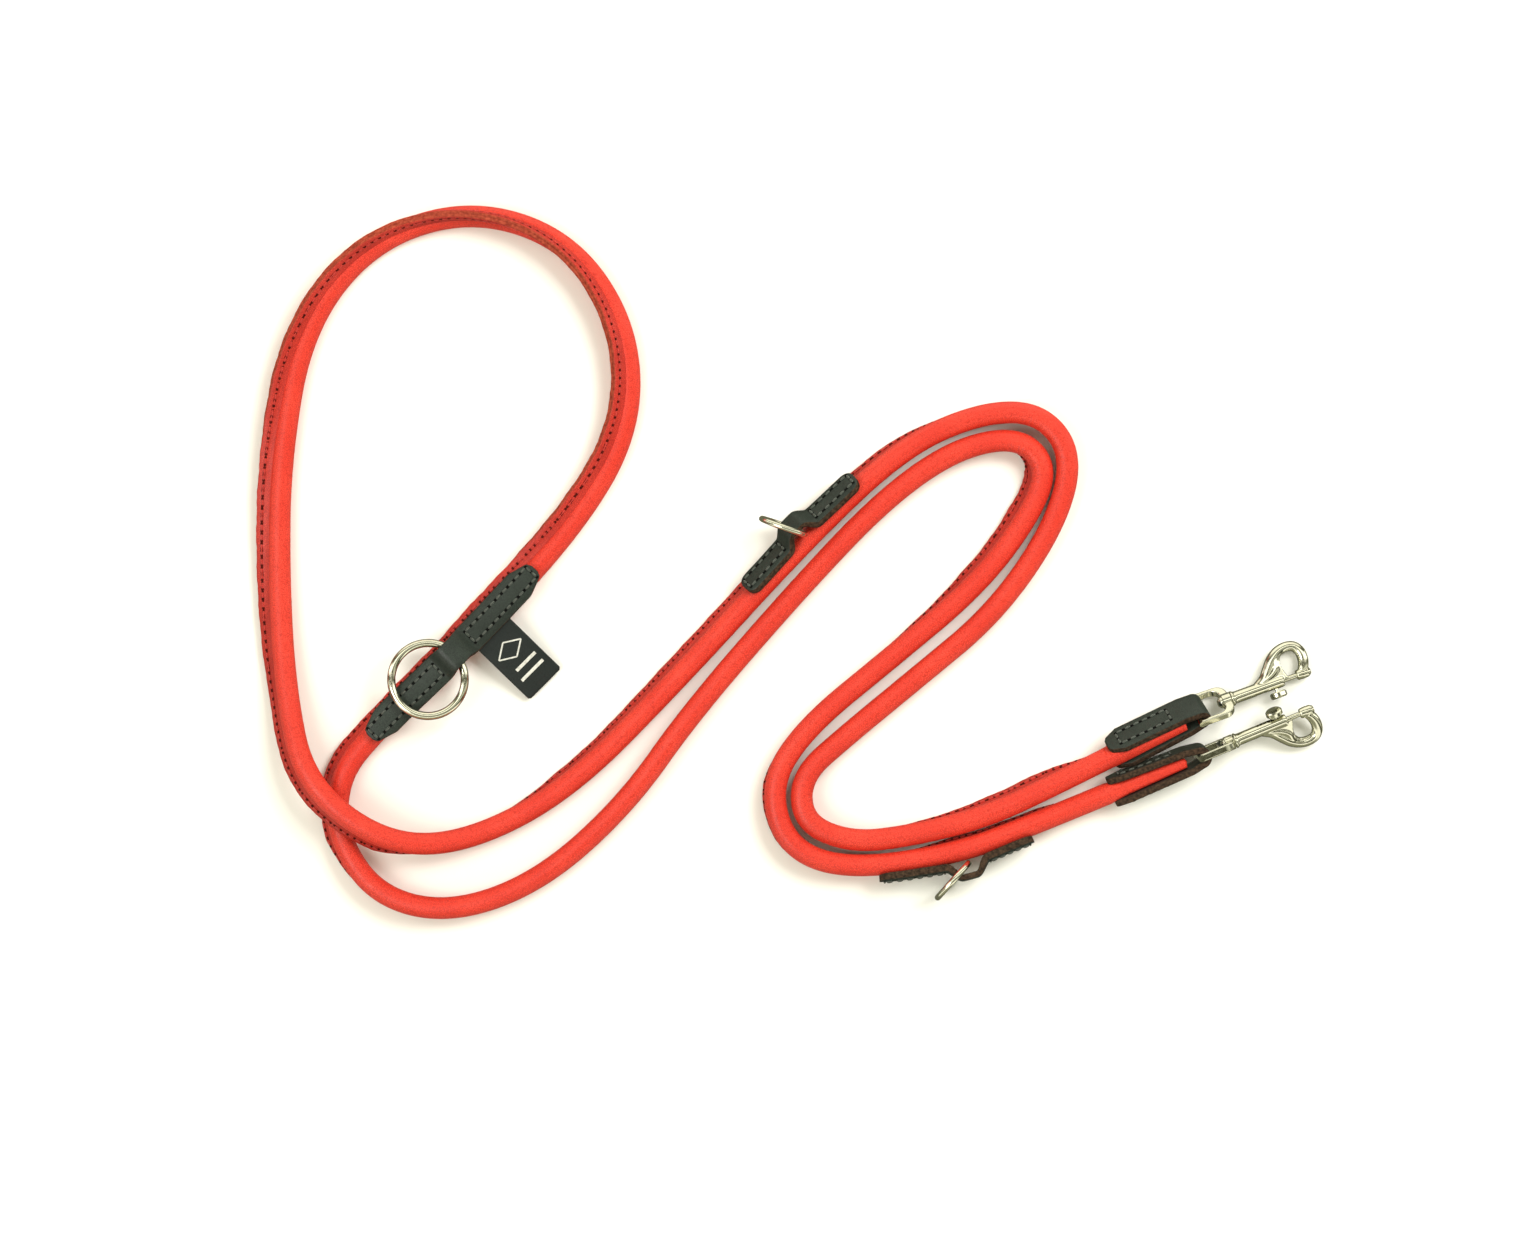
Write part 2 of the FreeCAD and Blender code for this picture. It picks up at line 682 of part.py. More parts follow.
def make_eye(side):
    label = "swivel_eye_" + side
    body = new_body(label + "_body")
    plan = new_sketch(body, "XY_Plane", label + "_plan")
    outline(plan, [
        ("-eye_bar_x", "eye_half_width"),
        ("-eye_end", "eye_half_width"),
        ("-eye_end", "-eye_half_width"),
        ("-eye_bar_x", "-eye_half_width"),
        ("-eye_bar_x", "-eye_inner_half"),
        ("-eye_end - eye_wall", "-eye_inner_half"),
        ("-eye_end - eye_wall", "eye_inner_half"),
        ("-eye_bar_x", "eye_inner_half"),
    ])
    bow = pad(body, plan, label + "_bow", "eye_thick")
    outer_x = -size("eye_end")
    outside = edges_where(bow.Shape, lambda edge: is_along(edge, Z_AXIS)
                          and abs(edge.CenterOfMass.x - outer_x) < 0.01)
    bow = fillet(body, bow, label + "_shoulders", outside, "eye_outer_corner")
    inner_x = -size("eye_end") - size("eye_wall")
    inside = edges_where(bow.Shape, lambda edge: is_along(edge, Z_AXIS)
                         and abs(edge.CenterOfMass.x - inner_x) < 0.01)
    bow = fillet(body, bow, label + "_inside", inside, "eye_inner_corner")
    rims = edges_where(bow.Shape, lambda edge: abs(abs(edge.CenterOfMass.z) - size("eye_thick") / 2) < 0.01
                       and edge.CenterOfMass.x > -size("eye_bar_x") + 0.5)
    bow = fillet(body, bow, label + "_rims", rims, "eye_end + 0.3")
    section = new_sketch(body, "XZ_Plane", label + "_bar_section")
    circle(section, "-eye_bar_x", "0", "eye_bar_radius")
    pad(body, section, label + "_bar", "eye_half_width + eye_half_width")
    hub = new_sketch(body, "XY_Plane", label + "_hub_section")
    outline(hub, [
        ("-eye_end - eye_wall", "0"),
        ("-eye_end - eye_wall", "eye_hub_radius"),
        ("-eye_end", "eye_hub_radius"),
        ("-eye_end", "0"),
    ])
    revolve(body, hub, label + "_hub", "Revolution", "H_Axis")
    bore = new_sketch(body, "XY_Plane", label + "_bore_section")
    outline(bore, [
        ("-eye_end - eye_wall - 0.5", "0"),
        ("-eye_end - eye_wall - 0.5", "rivet_radius + rivet_clearance"),
        ("0", "rivet_radius + rivet_clearance"),
        ("0", "0"),
    ])
    before = body.Shape.Volume
    revolve(body, bore, label + "_bore", "Groove", "H_Axis")
    check_cut(body, before, label)
    sub_part(body, label, eye_frame(side))


def check_cut(body, before, label):
    if body.Shape.Volume >= before - 0.1:
        raise RuntimeError(label + ": a cut removes nothing")


def make_rivet(side):
    label = "swivel_rivet_" + side
    body = new_body(label + "_body")
    section = new_sketch(body, "XY_Plane", label + "_section")
    outline(section, [
        ("rivet_tail", "0"),
        ("rivet_tail", "rivet_radius"),
        ("-eye_end - eye_wall - 0.1", "rivet_radius"),
        ("-eye_end - eye_wall - 0.1", "rivet_head_radius"),
        ("-eye_end - eye_wall - 0.9", "rivet_head_radius"),
        ("-eye_end - eye_wall - 0.1 - rivet_head_thick", "rivet_radius"),
        ("-eye_end - eye_wall - 0.1 - rivet_head_thick", "0"),
    ])
    head = revolve(body, section, label + "_turned", "Revolution", "H_Axis")
    crown = -size("eye_end") - size("eye_wall") - 0.85
    rims = edges_where(head.Shape, lambda edge: edge.Curve.TypeId == "Part::GeomCircle"
                       and edge.CenterOfMass.x < crown)
    fillet(body, head, label + "_dome", rims, "0.5")
    sub_part(body, label, snap_frame(side))


def hook_outline(sketch):
    """The hook in side view: a web rising from the barrel, a round top, a nose and the jaw inside."""
    top = Vector(size("hook_top_x"), size("hook_top_y"), 0)
    nose = Vector(size("hook_nose_x"), size("hook_nose_y"), 0)
    jaw = Vector(size("jaw_x"), size("jaw_y"), 0)
    web = Vector(size("web_start"), size("web_foot"), 0)
    mouth = Vector(size("barrel_length"), size("web_foot"), 0)
    top_r = size("hook_top_radius")
    nose_r = size("hook_nose_radius")
    jaw_r = size("jaw_radius")

    def tangent_angle(centre, radius, point):
        """Angle at which a line from the point touches the circle on its upper left."""
        to_point = point - centre
        return math.atan2(to_point.y, to_point.x) - math.acos(radius / to_point.Length)

    def on_circle(centre, radius, angle):
        return centre + Vector(math.cos(angle), math.sin(angle), 0) * radius

    back_angle = tangent_angle(top, top_r, web) + 2 * math.pi
    jaw_angle = tangent_angle(jaw, jaw_r, mouth) + 2 * math.pi
    back = on_circle(top, top_r, back_angle)
    jaw_back = on_circle(jaw, jaw_r, jaw_angle)
    arc_top = Part.ArcOfCircle(Part.Circle(top, Z_AXIS, top_r), 0, back_angle)
    arc_nose = Part.ArcOfCircle(Part.Circle(nose, Z_AXIS, nose_r), -math.pi / 2, 0)
    arc_jaw = Part.ArcOfCircle(Part.Circle(jaw, Z_AXIS, jaw_r), 0, jaw_angle)
    pieces = [
        Part.LineSegment(web, back),
        arc_top,
        Part.LineSegment(on_circle(top, top_r, 0), on_circle(nose, nose_r, 0)),
        arc_nose,
        Part.LineSegment(on_circle(nose, nose_r, -math.pi / 2), on_circle(jaw, jaw_r, 0)),
        arc_jaw,
        Part.LineSegment(jaw_back, mouth),
        Part.LineSegment(mouth, web),
    ]
    line_back, top_arc, line_front, nose_arc, line_tip, jaw_arc, line_web, line_foot = [
        sketch.addGeometry(piece, False) for piece in pieces]
    tangents = [
        (line_back, 2, top_arc, 2),
        (top_arc, 1, line_front, 1),
        (line_front, 2, nose_arc, 2),
        (line_tip, 2, jaw_arc, 1),
        (jaw_arc, 2, line_web, 1),
    ]
    for joint in tangents:
        sketch.addConstraint(Sketcher.Constraint("Tangent", *joint))
    for joint in ((nose_arc, 1, line_tip, 1), (line_web, 2, line_foot, 1), (line_foot, 2, line_back, 1)):
        sketch.addConstraint(Sketcher.Constraint("Coincident", *joint))
    sketch.addConstraint(Sketcher.Constraint("Vertical", line_tip))
    for arc, x, y, radius in ((top_arc, "hook_top_x", "hook_top_y", "hook_top_radius"),
                              (nose_arc, "hook_nose_x", "hook_nose_y", "hook_nose_radius"),
                              (jaw_arc, "jaw_x", "jaw_y", "jaw_radius")):
        fix_point(sketch, arc, 3, x, y)
        index = sketch.addConstraint(Sketcher.Constraint("Radius", arc, size(radius)))
        bind(sketch, "Constraints[%d]" % index, radius)
    fix_point(sketch, line_back, 1, "web_start", "web_foot")
    fix_point(sketch, line_web, 2, "barrel_length", "web_foot")


def make_snap(side):
    label = "snap_body_" + side
    body = new_body(label + "_body")
    side_view = new_sketch(body, "XY_Plane", label + "_hook_side")
    hook_outline(side_view)
    hook = pad(body, side_view, label + "_hook", "hook_thick")
    half = size("hook_thick") / 2
    foot = size("web_foot")
    jaw = Vector(size("jaw_x"), size("jaw_y"), 0)

    def rim_edges(shape, inner):
        """Rims of the jaw, or of the hook's outside; the foot inside the barrel stays sharp."""
        def wanted(edge):
            middle = edge.valueAt((edge.FirstParameter + edge.LastParameter) / 2)
            on_rim = abs(abs(middle.z) - half) < 0.01 and abs(middle.y - foot) > 0.01
            reach = (Vector(middle.x, middle.y, 0) - jaw).Length
            return on_rim and (reach < 2 * size("jaw_radius")) == inner
        return edges_where(shape, wanted)

    hook = fillet(body, hook, label + "_outer_rims", rim_edges(hook.Shape, False), "hook_fillet")
    fillet(body, hook, label + "_jaw_rims", rim_edges(hook.Shape, True), "jaw_fillet")
    solids = new_sketch(body, "XY_Plane", label + "_turned_outside")
    outline(solids, [
        ("0", "0"),
        ("0", "flange_radius"),
        ("flange_length", "flange_radius"),
        ("flange_length", "barrel_radius"),
        ("barrel_length - 0.5", "barrel_radius"),
        ("barrel_length", "barrel_radius - 0.5"),
        ("barrel_length", "0"),
    ])
    outline(solids, [
        ("tip_start", "0"),
        ("tip_start", "tip_radius"),
        ("tip_end - tip_chamfer", "tip_radius"),
        ("tip_end", "tip_radius - tip_chamfer"),
        ("tip_end", "0"),
    ])
    revolve(body, solids, label + "_turned", "Revolution", "H_Axis")
    bores = new_sketch(body, "XY_Plane", label + "_bores")
    outline(bores, [
        ("-0.5", "0"),
        ("-0.5", "rivet_radius"),
        ("rivet_tail", "rivet_radius"),
        ("rivet_tail", "0"),
    ])
    outline(bores, [
        ("chamber_start", "0"),
        ("chamber_start", "chamber_radius"),
        ("chamber_end", "chamber_radius"),
        ("chamber_end", "bolt_radius + bolt_clearance"),
        ("barrel_length + 0.5", "bolt_radius + bolt_clearance"),
        ("barrel_length + 0.5", "0"),
    ])
    outline(bores, [
        ("tip_start - 0.6", "0"),
        ("tip_start - 0.6", "bolt_radius + bolt_clearance"),
        ("cup_end", "bolt_radius + bolt_clearance"),
        ("cup_end", "0"),
    ])
    before = body.Shape.Volume
    revolve(body, bores, label + "_bored", "Groove", "H_Axis")
    check_cut(body, before, label)
    slot_view = new_sketch(body, "XZ_Plane", label + "_slot_view")
    outline(slot_view, [
        ("slot_start", "-slot_half_width"),
        ("slot_end", "-slot_half_width"),
        ("slot_end", "slot_half_width"),
        ("slot_start", "slot_half_width"),
    ])
    slot = body.newObject("PartDesign::Pocket", label + "_slot")
    slot.Profile = slot_view
    bind(slot, "Length", "barrel_radius + 1")
    before = body.Shape.Volume
    body.Tip = slot
    DOC.recompute()
    probe = Vector(size("slot_start") + 2, -(size("barrel_radius") + size("chamber_radius")) / 2, 0)
    if body.Shape.isInside(probe, 0.01, True):
        slot.Reversed = True
        DOC.recompute()
    check_cut(body, before, label)
    sub_part(body, label, snap_frame(side))


def make_bolt(side):
    label = "snap_bolt_" + side
    body = new_body(label + "_body")
    section = new_sketch(body, "XY_Plane", label + "_section")
    outline(section, [
        ("piston_start", "0"),
        ("piston_start", "piston_radius"),
        ("piston_end", "piston_radius"),
        ("piston_end", "bolt_radius"),
        ("bolt_end - 0.4", "bolt_radius"),
        ("bolt_end", "bolt_radius - 0.4"),
        ("bolt_end", "0"),
    ])
    revolve(body, section, label + "_turned", "Revolution", "H_Axis")
    hole_view = new_sketch(body, "XZ_Plane", label + "_hole_view")
    circle(hole_view, "knob_x", "0", "stem_radius")
    hole = body.newObject("PartDesign::Pocket", label + "_hole")
    hole.Profile = hole_view
    bind(hole, "Length", "barrel_radius")
    before = body.Shape.Volume
    body.Tip = hole
    DOC.recompute()
    probe = Vector(size("knob_x"), -1.0, 0)
    if body.Shape.isInside(probe, 0.01, True):
        hole.Reversed = True
        DOC.recompute()
    check_cut(body, before, label)
    sub_part(body, label, snap_frame(side))


def make_knob(side):
    label = "thumb_knob_" + side
    body = new_body(label + "_body")
    section = new_sketch(body, "XY_Plane", label + "_section")
    outline(section, [
        ("0", "0"),
        ("stem_radius", "0"),
        ("stem_radius", "-knob_under"),
        ("knob_radius - knob_edge", "-knob_under"),
        ("knob_radius", "-knob_under - knob_edge"),
        ("knob_radius", "-knob_top + knob_edge"),
        ("knob_radius - knob_edge", "-knob_top"),
        ("0", "-knob_top"),
    ])
    revolve(body, section, label + "_turned", "Revolution", "V_Axis")
    sub_part(body, label, snap_frame(side) * shift(size("knob_x")))


def make_spring(side):
    """Compression spring behind the bolt's piston; its axis is the barrel's."""
    label = "bolt_spring_" + side
    length = size("spring_end") - size("spring_start")
    helix = Part.makeHelix(length / size("spring_turns"), length, size("spring_radius"))
    start = Vector(size("spring_radius"), 0, 0)
    rim = Part.Wire([Part.Circle(start, Y_AXIS, size("spring_wire")).toShape()])
    coil = Part.Wire(helix.Edges).makePipeShell([rim], True, True)
    thing = DOC.addObject("Part::Feature", label)
    thing.Shape = coil
    sub_part(thing, label, snap_frame(side) * shift(size("spring_start")) * turn(Y_AXIS, 90))


# ---------------------------------------------------------------- assembly

def build():
    make_line()
    for number in (1, 2, 3):
        make_keeper(number)
        make_ring(number)
    make_label()
    for side in ("a", "b"):
        make_tab(side)
        make_tongue(side)
        make_eye(side)
        make_rivet(side)
        make_snap(side)
        make_bolt(side)
        make_knob(side)
        make_spring(side)
    DOC.recompute()


def check():
    for thing in DOC.Objects:
        if "Invalid" in thing.State or "Error" in thing.State:
            raise RuntimeError("%s failed: %s" % (thing.Name, thing.State))
    for thing in SUB_PARTS:
        if thing.Shape.isNull() or not thing.Shape.isValid():
            raise RuntimeError(thing.Label + ": no valid shape")
        if len(thing.Shape.Solids) != 1:
            raise RuntimeError("%s: %d solids" % (thing.Label, len(thing.Shape.Solids)))


def export():
    os.makedirs("parts", exist_ok=True)
    for thing in SUB_PARTS:
        thing.Shape.exportStep("parts/%s.step" % thing.Label)
    print(len(SUB_PARTS), "sub-parts written")


build()
check()
export()
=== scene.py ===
import json
import math

import bpy
from mathutils import Matrix, Vector


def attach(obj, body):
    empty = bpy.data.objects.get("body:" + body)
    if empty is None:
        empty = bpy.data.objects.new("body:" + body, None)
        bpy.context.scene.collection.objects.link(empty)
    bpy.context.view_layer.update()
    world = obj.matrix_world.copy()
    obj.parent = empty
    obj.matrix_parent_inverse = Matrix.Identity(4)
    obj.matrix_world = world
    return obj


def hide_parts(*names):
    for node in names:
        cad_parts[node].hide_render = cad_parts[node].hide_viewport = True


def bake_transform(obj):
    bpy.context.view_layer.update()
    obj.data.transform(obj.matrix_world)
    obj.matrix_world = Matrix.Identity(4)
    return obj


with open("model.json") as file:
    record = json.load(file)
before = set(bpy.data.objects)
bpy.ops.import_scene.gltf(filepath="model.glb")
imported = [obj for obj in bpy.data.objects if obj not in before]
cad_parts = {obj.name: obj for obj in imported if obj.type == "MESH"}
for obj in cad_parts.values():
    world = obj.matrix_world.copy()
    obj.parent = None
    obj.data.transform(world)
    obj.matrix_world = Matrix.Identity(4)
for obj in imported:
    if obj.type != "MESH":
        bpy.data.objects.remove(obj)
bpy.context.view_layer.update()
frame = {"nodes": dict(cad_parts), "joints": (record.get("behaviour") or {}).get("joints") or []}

# Training leash: leather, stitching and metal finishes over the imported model. Metres, in the model's frame.

MM = 0.001
UP = Vector((0, 0, 1))
JOINTS = {joint["name"]: joint for joint in frame["joints"]}
scene = bpy.context.scene


# ---------------------------------------------------------------- camera, from straight above

camera = bpy.data.objects.new("camera", bpy.data.cameras.new("camera"))
camera.data.sensor_width = 36
camera.data.lens = 100
VIEW_WIDTH = 0.6144
VIEW_CENTRE = (-0.0320, 0.0244)
# The width is measured at the height of the line's middle.
VIEW_LEVEL = 0.008
camera.location = (*VIEW_CENTRE, VIEW_WIDTH * camera.data.lens / camera.data.sensor_width + VIEW_LEVEL)
scene.collection.objects.link(camera)
scene.camera = camera


# ---------------------------------------------------------------- the line's route

# The same points as the model's route, in millimetres, from hook end a to hook end b.
ROUTE = [
    (104, -30, 10.1), (84.5, -39.8, 9.9), (55, -54, 8.5), (24, -61.5, 8.4), (1, -64, 8.4),
    (-18, -56, 8.4), (-19, -37.5, 8.4), (-1, -21.5, 8.4), (27, 1.5, 8.4), (59, 28, 8.4),
    (83, 63, 8.4), (90, 91, 8.4), (77, 108, 8.4), (53, 108, 8.4), (21.5, 94, 8), (-17, 57.5, 7.4),
    (-69, 0.5, 7.4), (-113, -44, 7.8), (-155, -65, 9), (-186.5, -63.5, 16.3), (-216.5, -40, 16.3),
    (-225, -3, 8), (-228, 41, 4.6), (-227.5, 89, 4.5), (-218.5, 142, 4.5), (-191.5, 177, 4.5),
    (-151, 190, 4.5), (-111.5, 177, 4.5), (-88, 142, 4.5), (-87, 101, 4.5), (-110.5, 61, 4.5),
    (-157, 11.5, 5.4), (-188, -18, 5.9), (-204, -37.5, 6.2), (-204.5, -62, 6.4),
    (-188.5, -85.5, 7.6), (-159, -92.5, 8.4), (-123, -79.5, 8.4), (-88.5, -48.5, 8.4),
    (-62.5, -11.5, 8.4), (-18, 39.5, 8.4), (15, 74, 8.4), (43, 93.5, 8.4), (68, 98.5, 8),
    (80, 86.5, 7.4), (73, 67, 7.2), (51.5, 38.5, 7.4), (16, 9, 8), (-17, -18, 8.2),
    (-31.5, -41, 8), (-24.5, -66, 8.2), (0, -75, 8.4), (43.5, -68.5, 8.7), (74.6, -56.5, 8.6),
    (104.1, -44.3, 8.7),
]
# Where the seam flange points at each of them, in degrees round the section: 0 is left of travel, 90 up.
SEAM = [
    -132, -130, -125, -110, -95, -100, -100, -92, -90, -90, -90, -90, -90, -100, -128, -138,
    -138, -130, -92, -48, -35, -38, -12, 8, 42, 65, 90, 112, 128, 140, 155,
    205, 212, 212, 220, 250, 270, 270, 270, 270, 270, 270, 270, 255, 225, 220, 225, 250, 262,
    240, 245, 268, 300, 295, 272,
]
LINE_RADIUS = 4.4 * MM
ROUTE_STEPS = 24
# Bends are measured over this many path points to each side.
BEND_REACH = 6


def smooth_route(route, steps):
    """Points read from the NURBS spline that has the route as its control points."""
    data = bpy.data.curves.new("route", "CURVE")
    data.dimensions = "3D"
    spline = data.splines.new("NURBS")
    spline.points.add(len(route) - 1)
    for point, place in zip(spline.points, route):
        point.co = (place[0] * MM, place[1] * MM, place[2] * MM, 1)
    spline.order_u = 3
    spline.use_endpoint_u = True
    spline.resolution_u = steps
    holder = bpy.data.objects.new("route", data)
    scene.collection.objects.link(holder)
    bpy.context.view_layer.update()
    mesh = bpy.data.meshes.new_from_object(holder)
    points = [vertex.co.copy() for vertex in mesh.vertices]
    bpy.data.meshes.remove(mesh)
    bpy.data.objects.remove(holder)
    return points


def tangents(points):
    last = len(points) - 1
    return [(points[min(i + 1, last)] - points[max(i - 1, 0)]).normalized() for i in range(last + 1)]


def left_and_up(tangent):
    left = UP.cross(tangent).normalized()
    return left, tangent.cross(left)


PATH = smooth_route(ROUTE, ROUTE_STEPS)
ALONG = tangents(PATH)
RUN = [0.0]
for before, after in zip(PATH, PATH[1:]):
    RUN.append(RUN[-1] + (after - before).length)


def seam_angle(index):
    """The flange's direction at a path point, in radians, between those of the route's points."""
    spans = len(ROUTE) - 2
    place = index / (len(PATH) - 1) * spans
    knots = [0.0] + [k + 0.5 for k in range(spans)] + [float(spans)]
    for k in range(len(knots) - 1):
        if place <= knots[k + 1]:
            share = (place - knots[k]) / (knots[k + 1] - knots[k])
            return math.radians(SEAM[k] + (SEAM[k + 1] - SEAM[k]) * share)
    return math.radians(SEAM[-1])


def bend_at(index):
    """Curvature vector, towards the inside of the bend."""
    low, high = max(index - BEND_REACH, 0), min(index + BEND_REACH, len(PATH) - 1)
    return (ALONG[high] - ALONG[low]) / (RUN[high] - RUN[low])


# ---------------------------------------------------------------- materials

def new_material(name):
    material = bpy.data.materials.new(name)
    material.use_nodes = True
    tree = material.node_tree
    return material, tree, tree.nodes["Principled BSDF"]


def node(tree, kind, **values):
    made = tree.nodes.new(kind)
    for key, value in values.items():
        if key in made.inputs:
            made.inputs[key].default_value = value
        else:
            setattr(made, key, value)
    return made


def noise(tree, scale, detail=3.0, stretch=None):
    where = node(tree, "ShaderNodeTexCoord")
    source = where.outputs["Object"]
    if stretch is not None:
        mapping = node(tree, "ShaderNodeMapping")
        mapping.inputs["Scale"].default_value = stretch
        tree.links.new(source, mapping.inputs["Vector"])
        source = mapping.outputs["Vector"]
    made = node(tree, "ShaderNodeTexNoise", Scale=scale, Detail=detail)
    tree.links.new(source, made.inputs["Vector"])
    return made.outputs["Fac"]


def cells(tree, scale):
    where = node(tree, "ShaderNodeTexCoord")
    made = node(tree, "ShaderNodeTexVoronoi", Scale=scale, feature="DISTANCE_TO_EDGE")
    tree.links.new(where.outputs["Object"], made.inputs["Vector"])
    return made.outputs["Distance"]


def ramp(tree, source, stops):
    made = node(tree, "ShaderNodeValToRGB")
    elements = made.color_ramp.elements
    while len(elements) < len(stops):
        elements.new(0.5)
    for element, (position, colour) in zip(elements, stops):
        element.position = position
        element.color = (*colour, 1)
    tree.links.new(source, made.inputs["Fac"])
    return made.outputs["Color"]


def blend_colours(tree, factor, first, second):
    made = node(tree, "ShaderNodeMix", data_type="RGBA", blend_type="MIX")
    sockets = made.inputs["Factor"], made.inputs[6], made.inputs[7]
    for socket, value in zip(sockets, (factor, first, second)):
        if hasattr(value, "links"):
            tree.links.new(value, socket)
        else:
            socket.default_value = value
    return made.outputs[2]


def add_bump(tree, shader, sources):
    """Stacks bumps: each source is (height, strength, distance in metres)."""
    normal = None
    for height, strength, distance in sources:
        bump = node(tree, "ShaderNodeBump", Strength=strength, Distance=distance)
        tree.links.new(height, bump.inputs["Height"])
        if normal is not None:
            tree.links.new(normal, bump.inputs["Normal"])
        normal = bump.outputs["Normal"]
    tree.links.new(normal, shader.inputs["Normal"])


def folds(tree):
    """Fine folds across the line: faint everywhere, and deep on the inside of its bends."""
    unrolled = node(tree, "ShaderNodeUVMap", uv_map="line")
    stretch = node(tree, "ShaderNodeMapping")
    stretch.inputs["Scale"].default_value = (640.0, 1.8, 1.0)
    tree.links.new(unrolled.outputs["UV"], stretch.inputs["Vector"])
    waves = node(tree, "ShaderNodeTexNoise", Scale=1.0, Detail=2.0)
    tree.links.new(stretch.outputs["Vector"], waves.inputs["Vector"])
    amount = node(tree, "ShaderNodeAttribute", attribute_name="squeeze")
    lifted = node(tree, "ShaderNodeMath", operation="ADD")
    lifted.inputs[1].default_value = 0.22
    tree.links.new(amount.outputs["Fac"], lifted.inputs[0])
    product = node(tree, "ShaderNodeMath", operation="MULTIPLY")
    tree.links.new(waves.outputs["Fac"], product.inputs[0])
    tree.links.new(lifted.outputs["Value"], product.inputs[1])
    return product.outputs["Value"]


def leather(name, dark, light, crevice_shade, roughness, grain=1500.0, depth=0.00006, squeeze=False):
    """Grained leather: mottled colour, painted shade in the crevices between the grains, and folds where the
    line is bent.
    """
    material, tree, shader = new_material(name)
    tone = ramp(tree, noise(tree, 55.0, 5.0), [(0.3, dark), (0.7, light)])
    # The crevices between the grains, where the grain's bump sinks, take the darker colour: painted shade.
    crevice_shade_mask = ramp(tree, cells(tree, grain), [(0.0, (0, 0, 0)), (0.22, (1, 1, 1))])
    colour = blend_colours(tree, crevice_shade_mask, (*crevice_shade, 1), tone)
    bumps = [(cells(tree, grain), 0.55, depth), (noise(tree, 420.0, 4.0), 0.35, depth * 3)]
    if squeeze:
        bumps.append((folds(tree), 0.9, 0.0006))
    tree.links.new(colour, shader.inputs["Base Color"])
    rough = ramp(tree, noise(tree, 260.0), [(0.3, (roughness - 0.07,) * 3), (0.7, (roughness + 0.1,) * 3)])
    tree.links.new(rough, shader.inputs["Roughness"])
    shader.inputs["Specular IOR Level"].default_value = 0.4
    add_bump(tree, shader, bumps)
    return material


def raw_edge(name, dark, light):
    """Cut edge of leather: fibrous, dull and streaked along the ply."""
    material, tree, shader = new_material(name)
    fibres = noise(tree, 900.0, 6.0)
    tree.links.new(ramp(tree, fibres, [(0.35, dark), (0.68, light)]), shader.inputs["Base Color"])
    shader.inputs["Roughness"].default_value = 0.92
    shader.inputs["Specular IOR Level"].default_value = 0.15
    add_bump(tree, shader, [(fibres, 0.8, 0.00018), (noise(tree, 2600.0), 0.5, 0.00008)])
    return material


def thread(name, dark, light):
    material, tree, shader = new_material(name)
    twist_and_sheen = node(tree, "ShaderNodeTexWave", Scale=900.0, Distortion=1.5)
    twist_and_sheen.bands_direction = "DIAGONAL"
    where = node(tree, "ShaderNodeTexCoord")
    tree.links.new(where.outputs["Object"], twist_and_sheen.inputs["Vector"])
    # The twist's ridges are painted lighter and its grooves darker: painted highlight and shade over the
    # thread's dark colour.
    tree.links.new(ramp(tree, twist_and_sheen.outputs["Fac"], [(0.2, dark), (0.8, light)]), shader.inputs["Base Color"])
    shader.inputs["Roughness"].default_value = 0.6
    shader.inputs["Sheen Weight"].default_value = 0.15
    add_bump(tree, shader, [(twist_and_sheen.outputs["Fac"], 0.5, 0.0001)])
    return material


def nickel(name, colour, roughness):
    """Plated casting: a little uneven, with fine handling marks."""
    material, tree, shader = new_material(name)
    darker = tuple(value * 0.86 for value in colour)
    patches = noise(tree, 150.0, 4.0)
    tree.links.new(ramp(tree, patches, [(0.3, darker), (0.62, colour)]), shader.inputs["Base Color"])
    shader.inputs["Metallic"].default_value = 1.0
    marks = noise(tree, 700.0, 4.0, (1.0, 1.0, 6.0))
    low, high = (roughness * 0.7,) * 3, (roughness * 1.7,) * 3
    tree.links.new(ramp(tree, marks, [(0.35, low), (0.75, high)]), shader.inputs["Roughness"])
    add_bump(tree, shader, [(patches, 0.10, 0.0001), (marks, 0.05, 0.00001)])
    return material


# Each leather's third colour is the painted shade in its grain's crevices.
RED = leather("red_leather", (0.70, 0.040, 0.022), (0.84, 0.062, 0.034), (0.46, 0.020, 0.010), 0.42,
              squeeze=True)
# A darker copy of the red leather: painted shade on the seam's flange.
SHADED_SEAM_RED = leather("seam_leather_shaded", (0.46, 0.026, 0.015), (0.62, 0.042, 0.024), (0.30, 0.013, 0.008), 0.46)
RED_EDGE = raw_edge("red_suede_edge", (0.22, 0.030, 0.016), (0.44, 0.075, 0.040))
BLACK = leather("black_leather", (0.017, 0.025, 0.019), (0.031, 0.044, 0.034), (0.008, 0.011, 0.009), 0.44,
                1700.0, 0.00004)
# Near-black discs of painted shade where the needle holes are.
HOLE_SHADE = raw_edge("needle_hole_shade", (0.0010, 0.0012, 0.0010), (0.0030, 0.0035, 0.0030))
RED_HOLE_SHADE = raw_edge("red_needle_hole_shade", (0.040, 0.003, 0.002), (0.090, 0.007, 0.004))
BLACK_EDGE = raw_edge("brown_raw_edge", (0.018, 0.012, 0.008), (0.075, 0.045, 0.028))
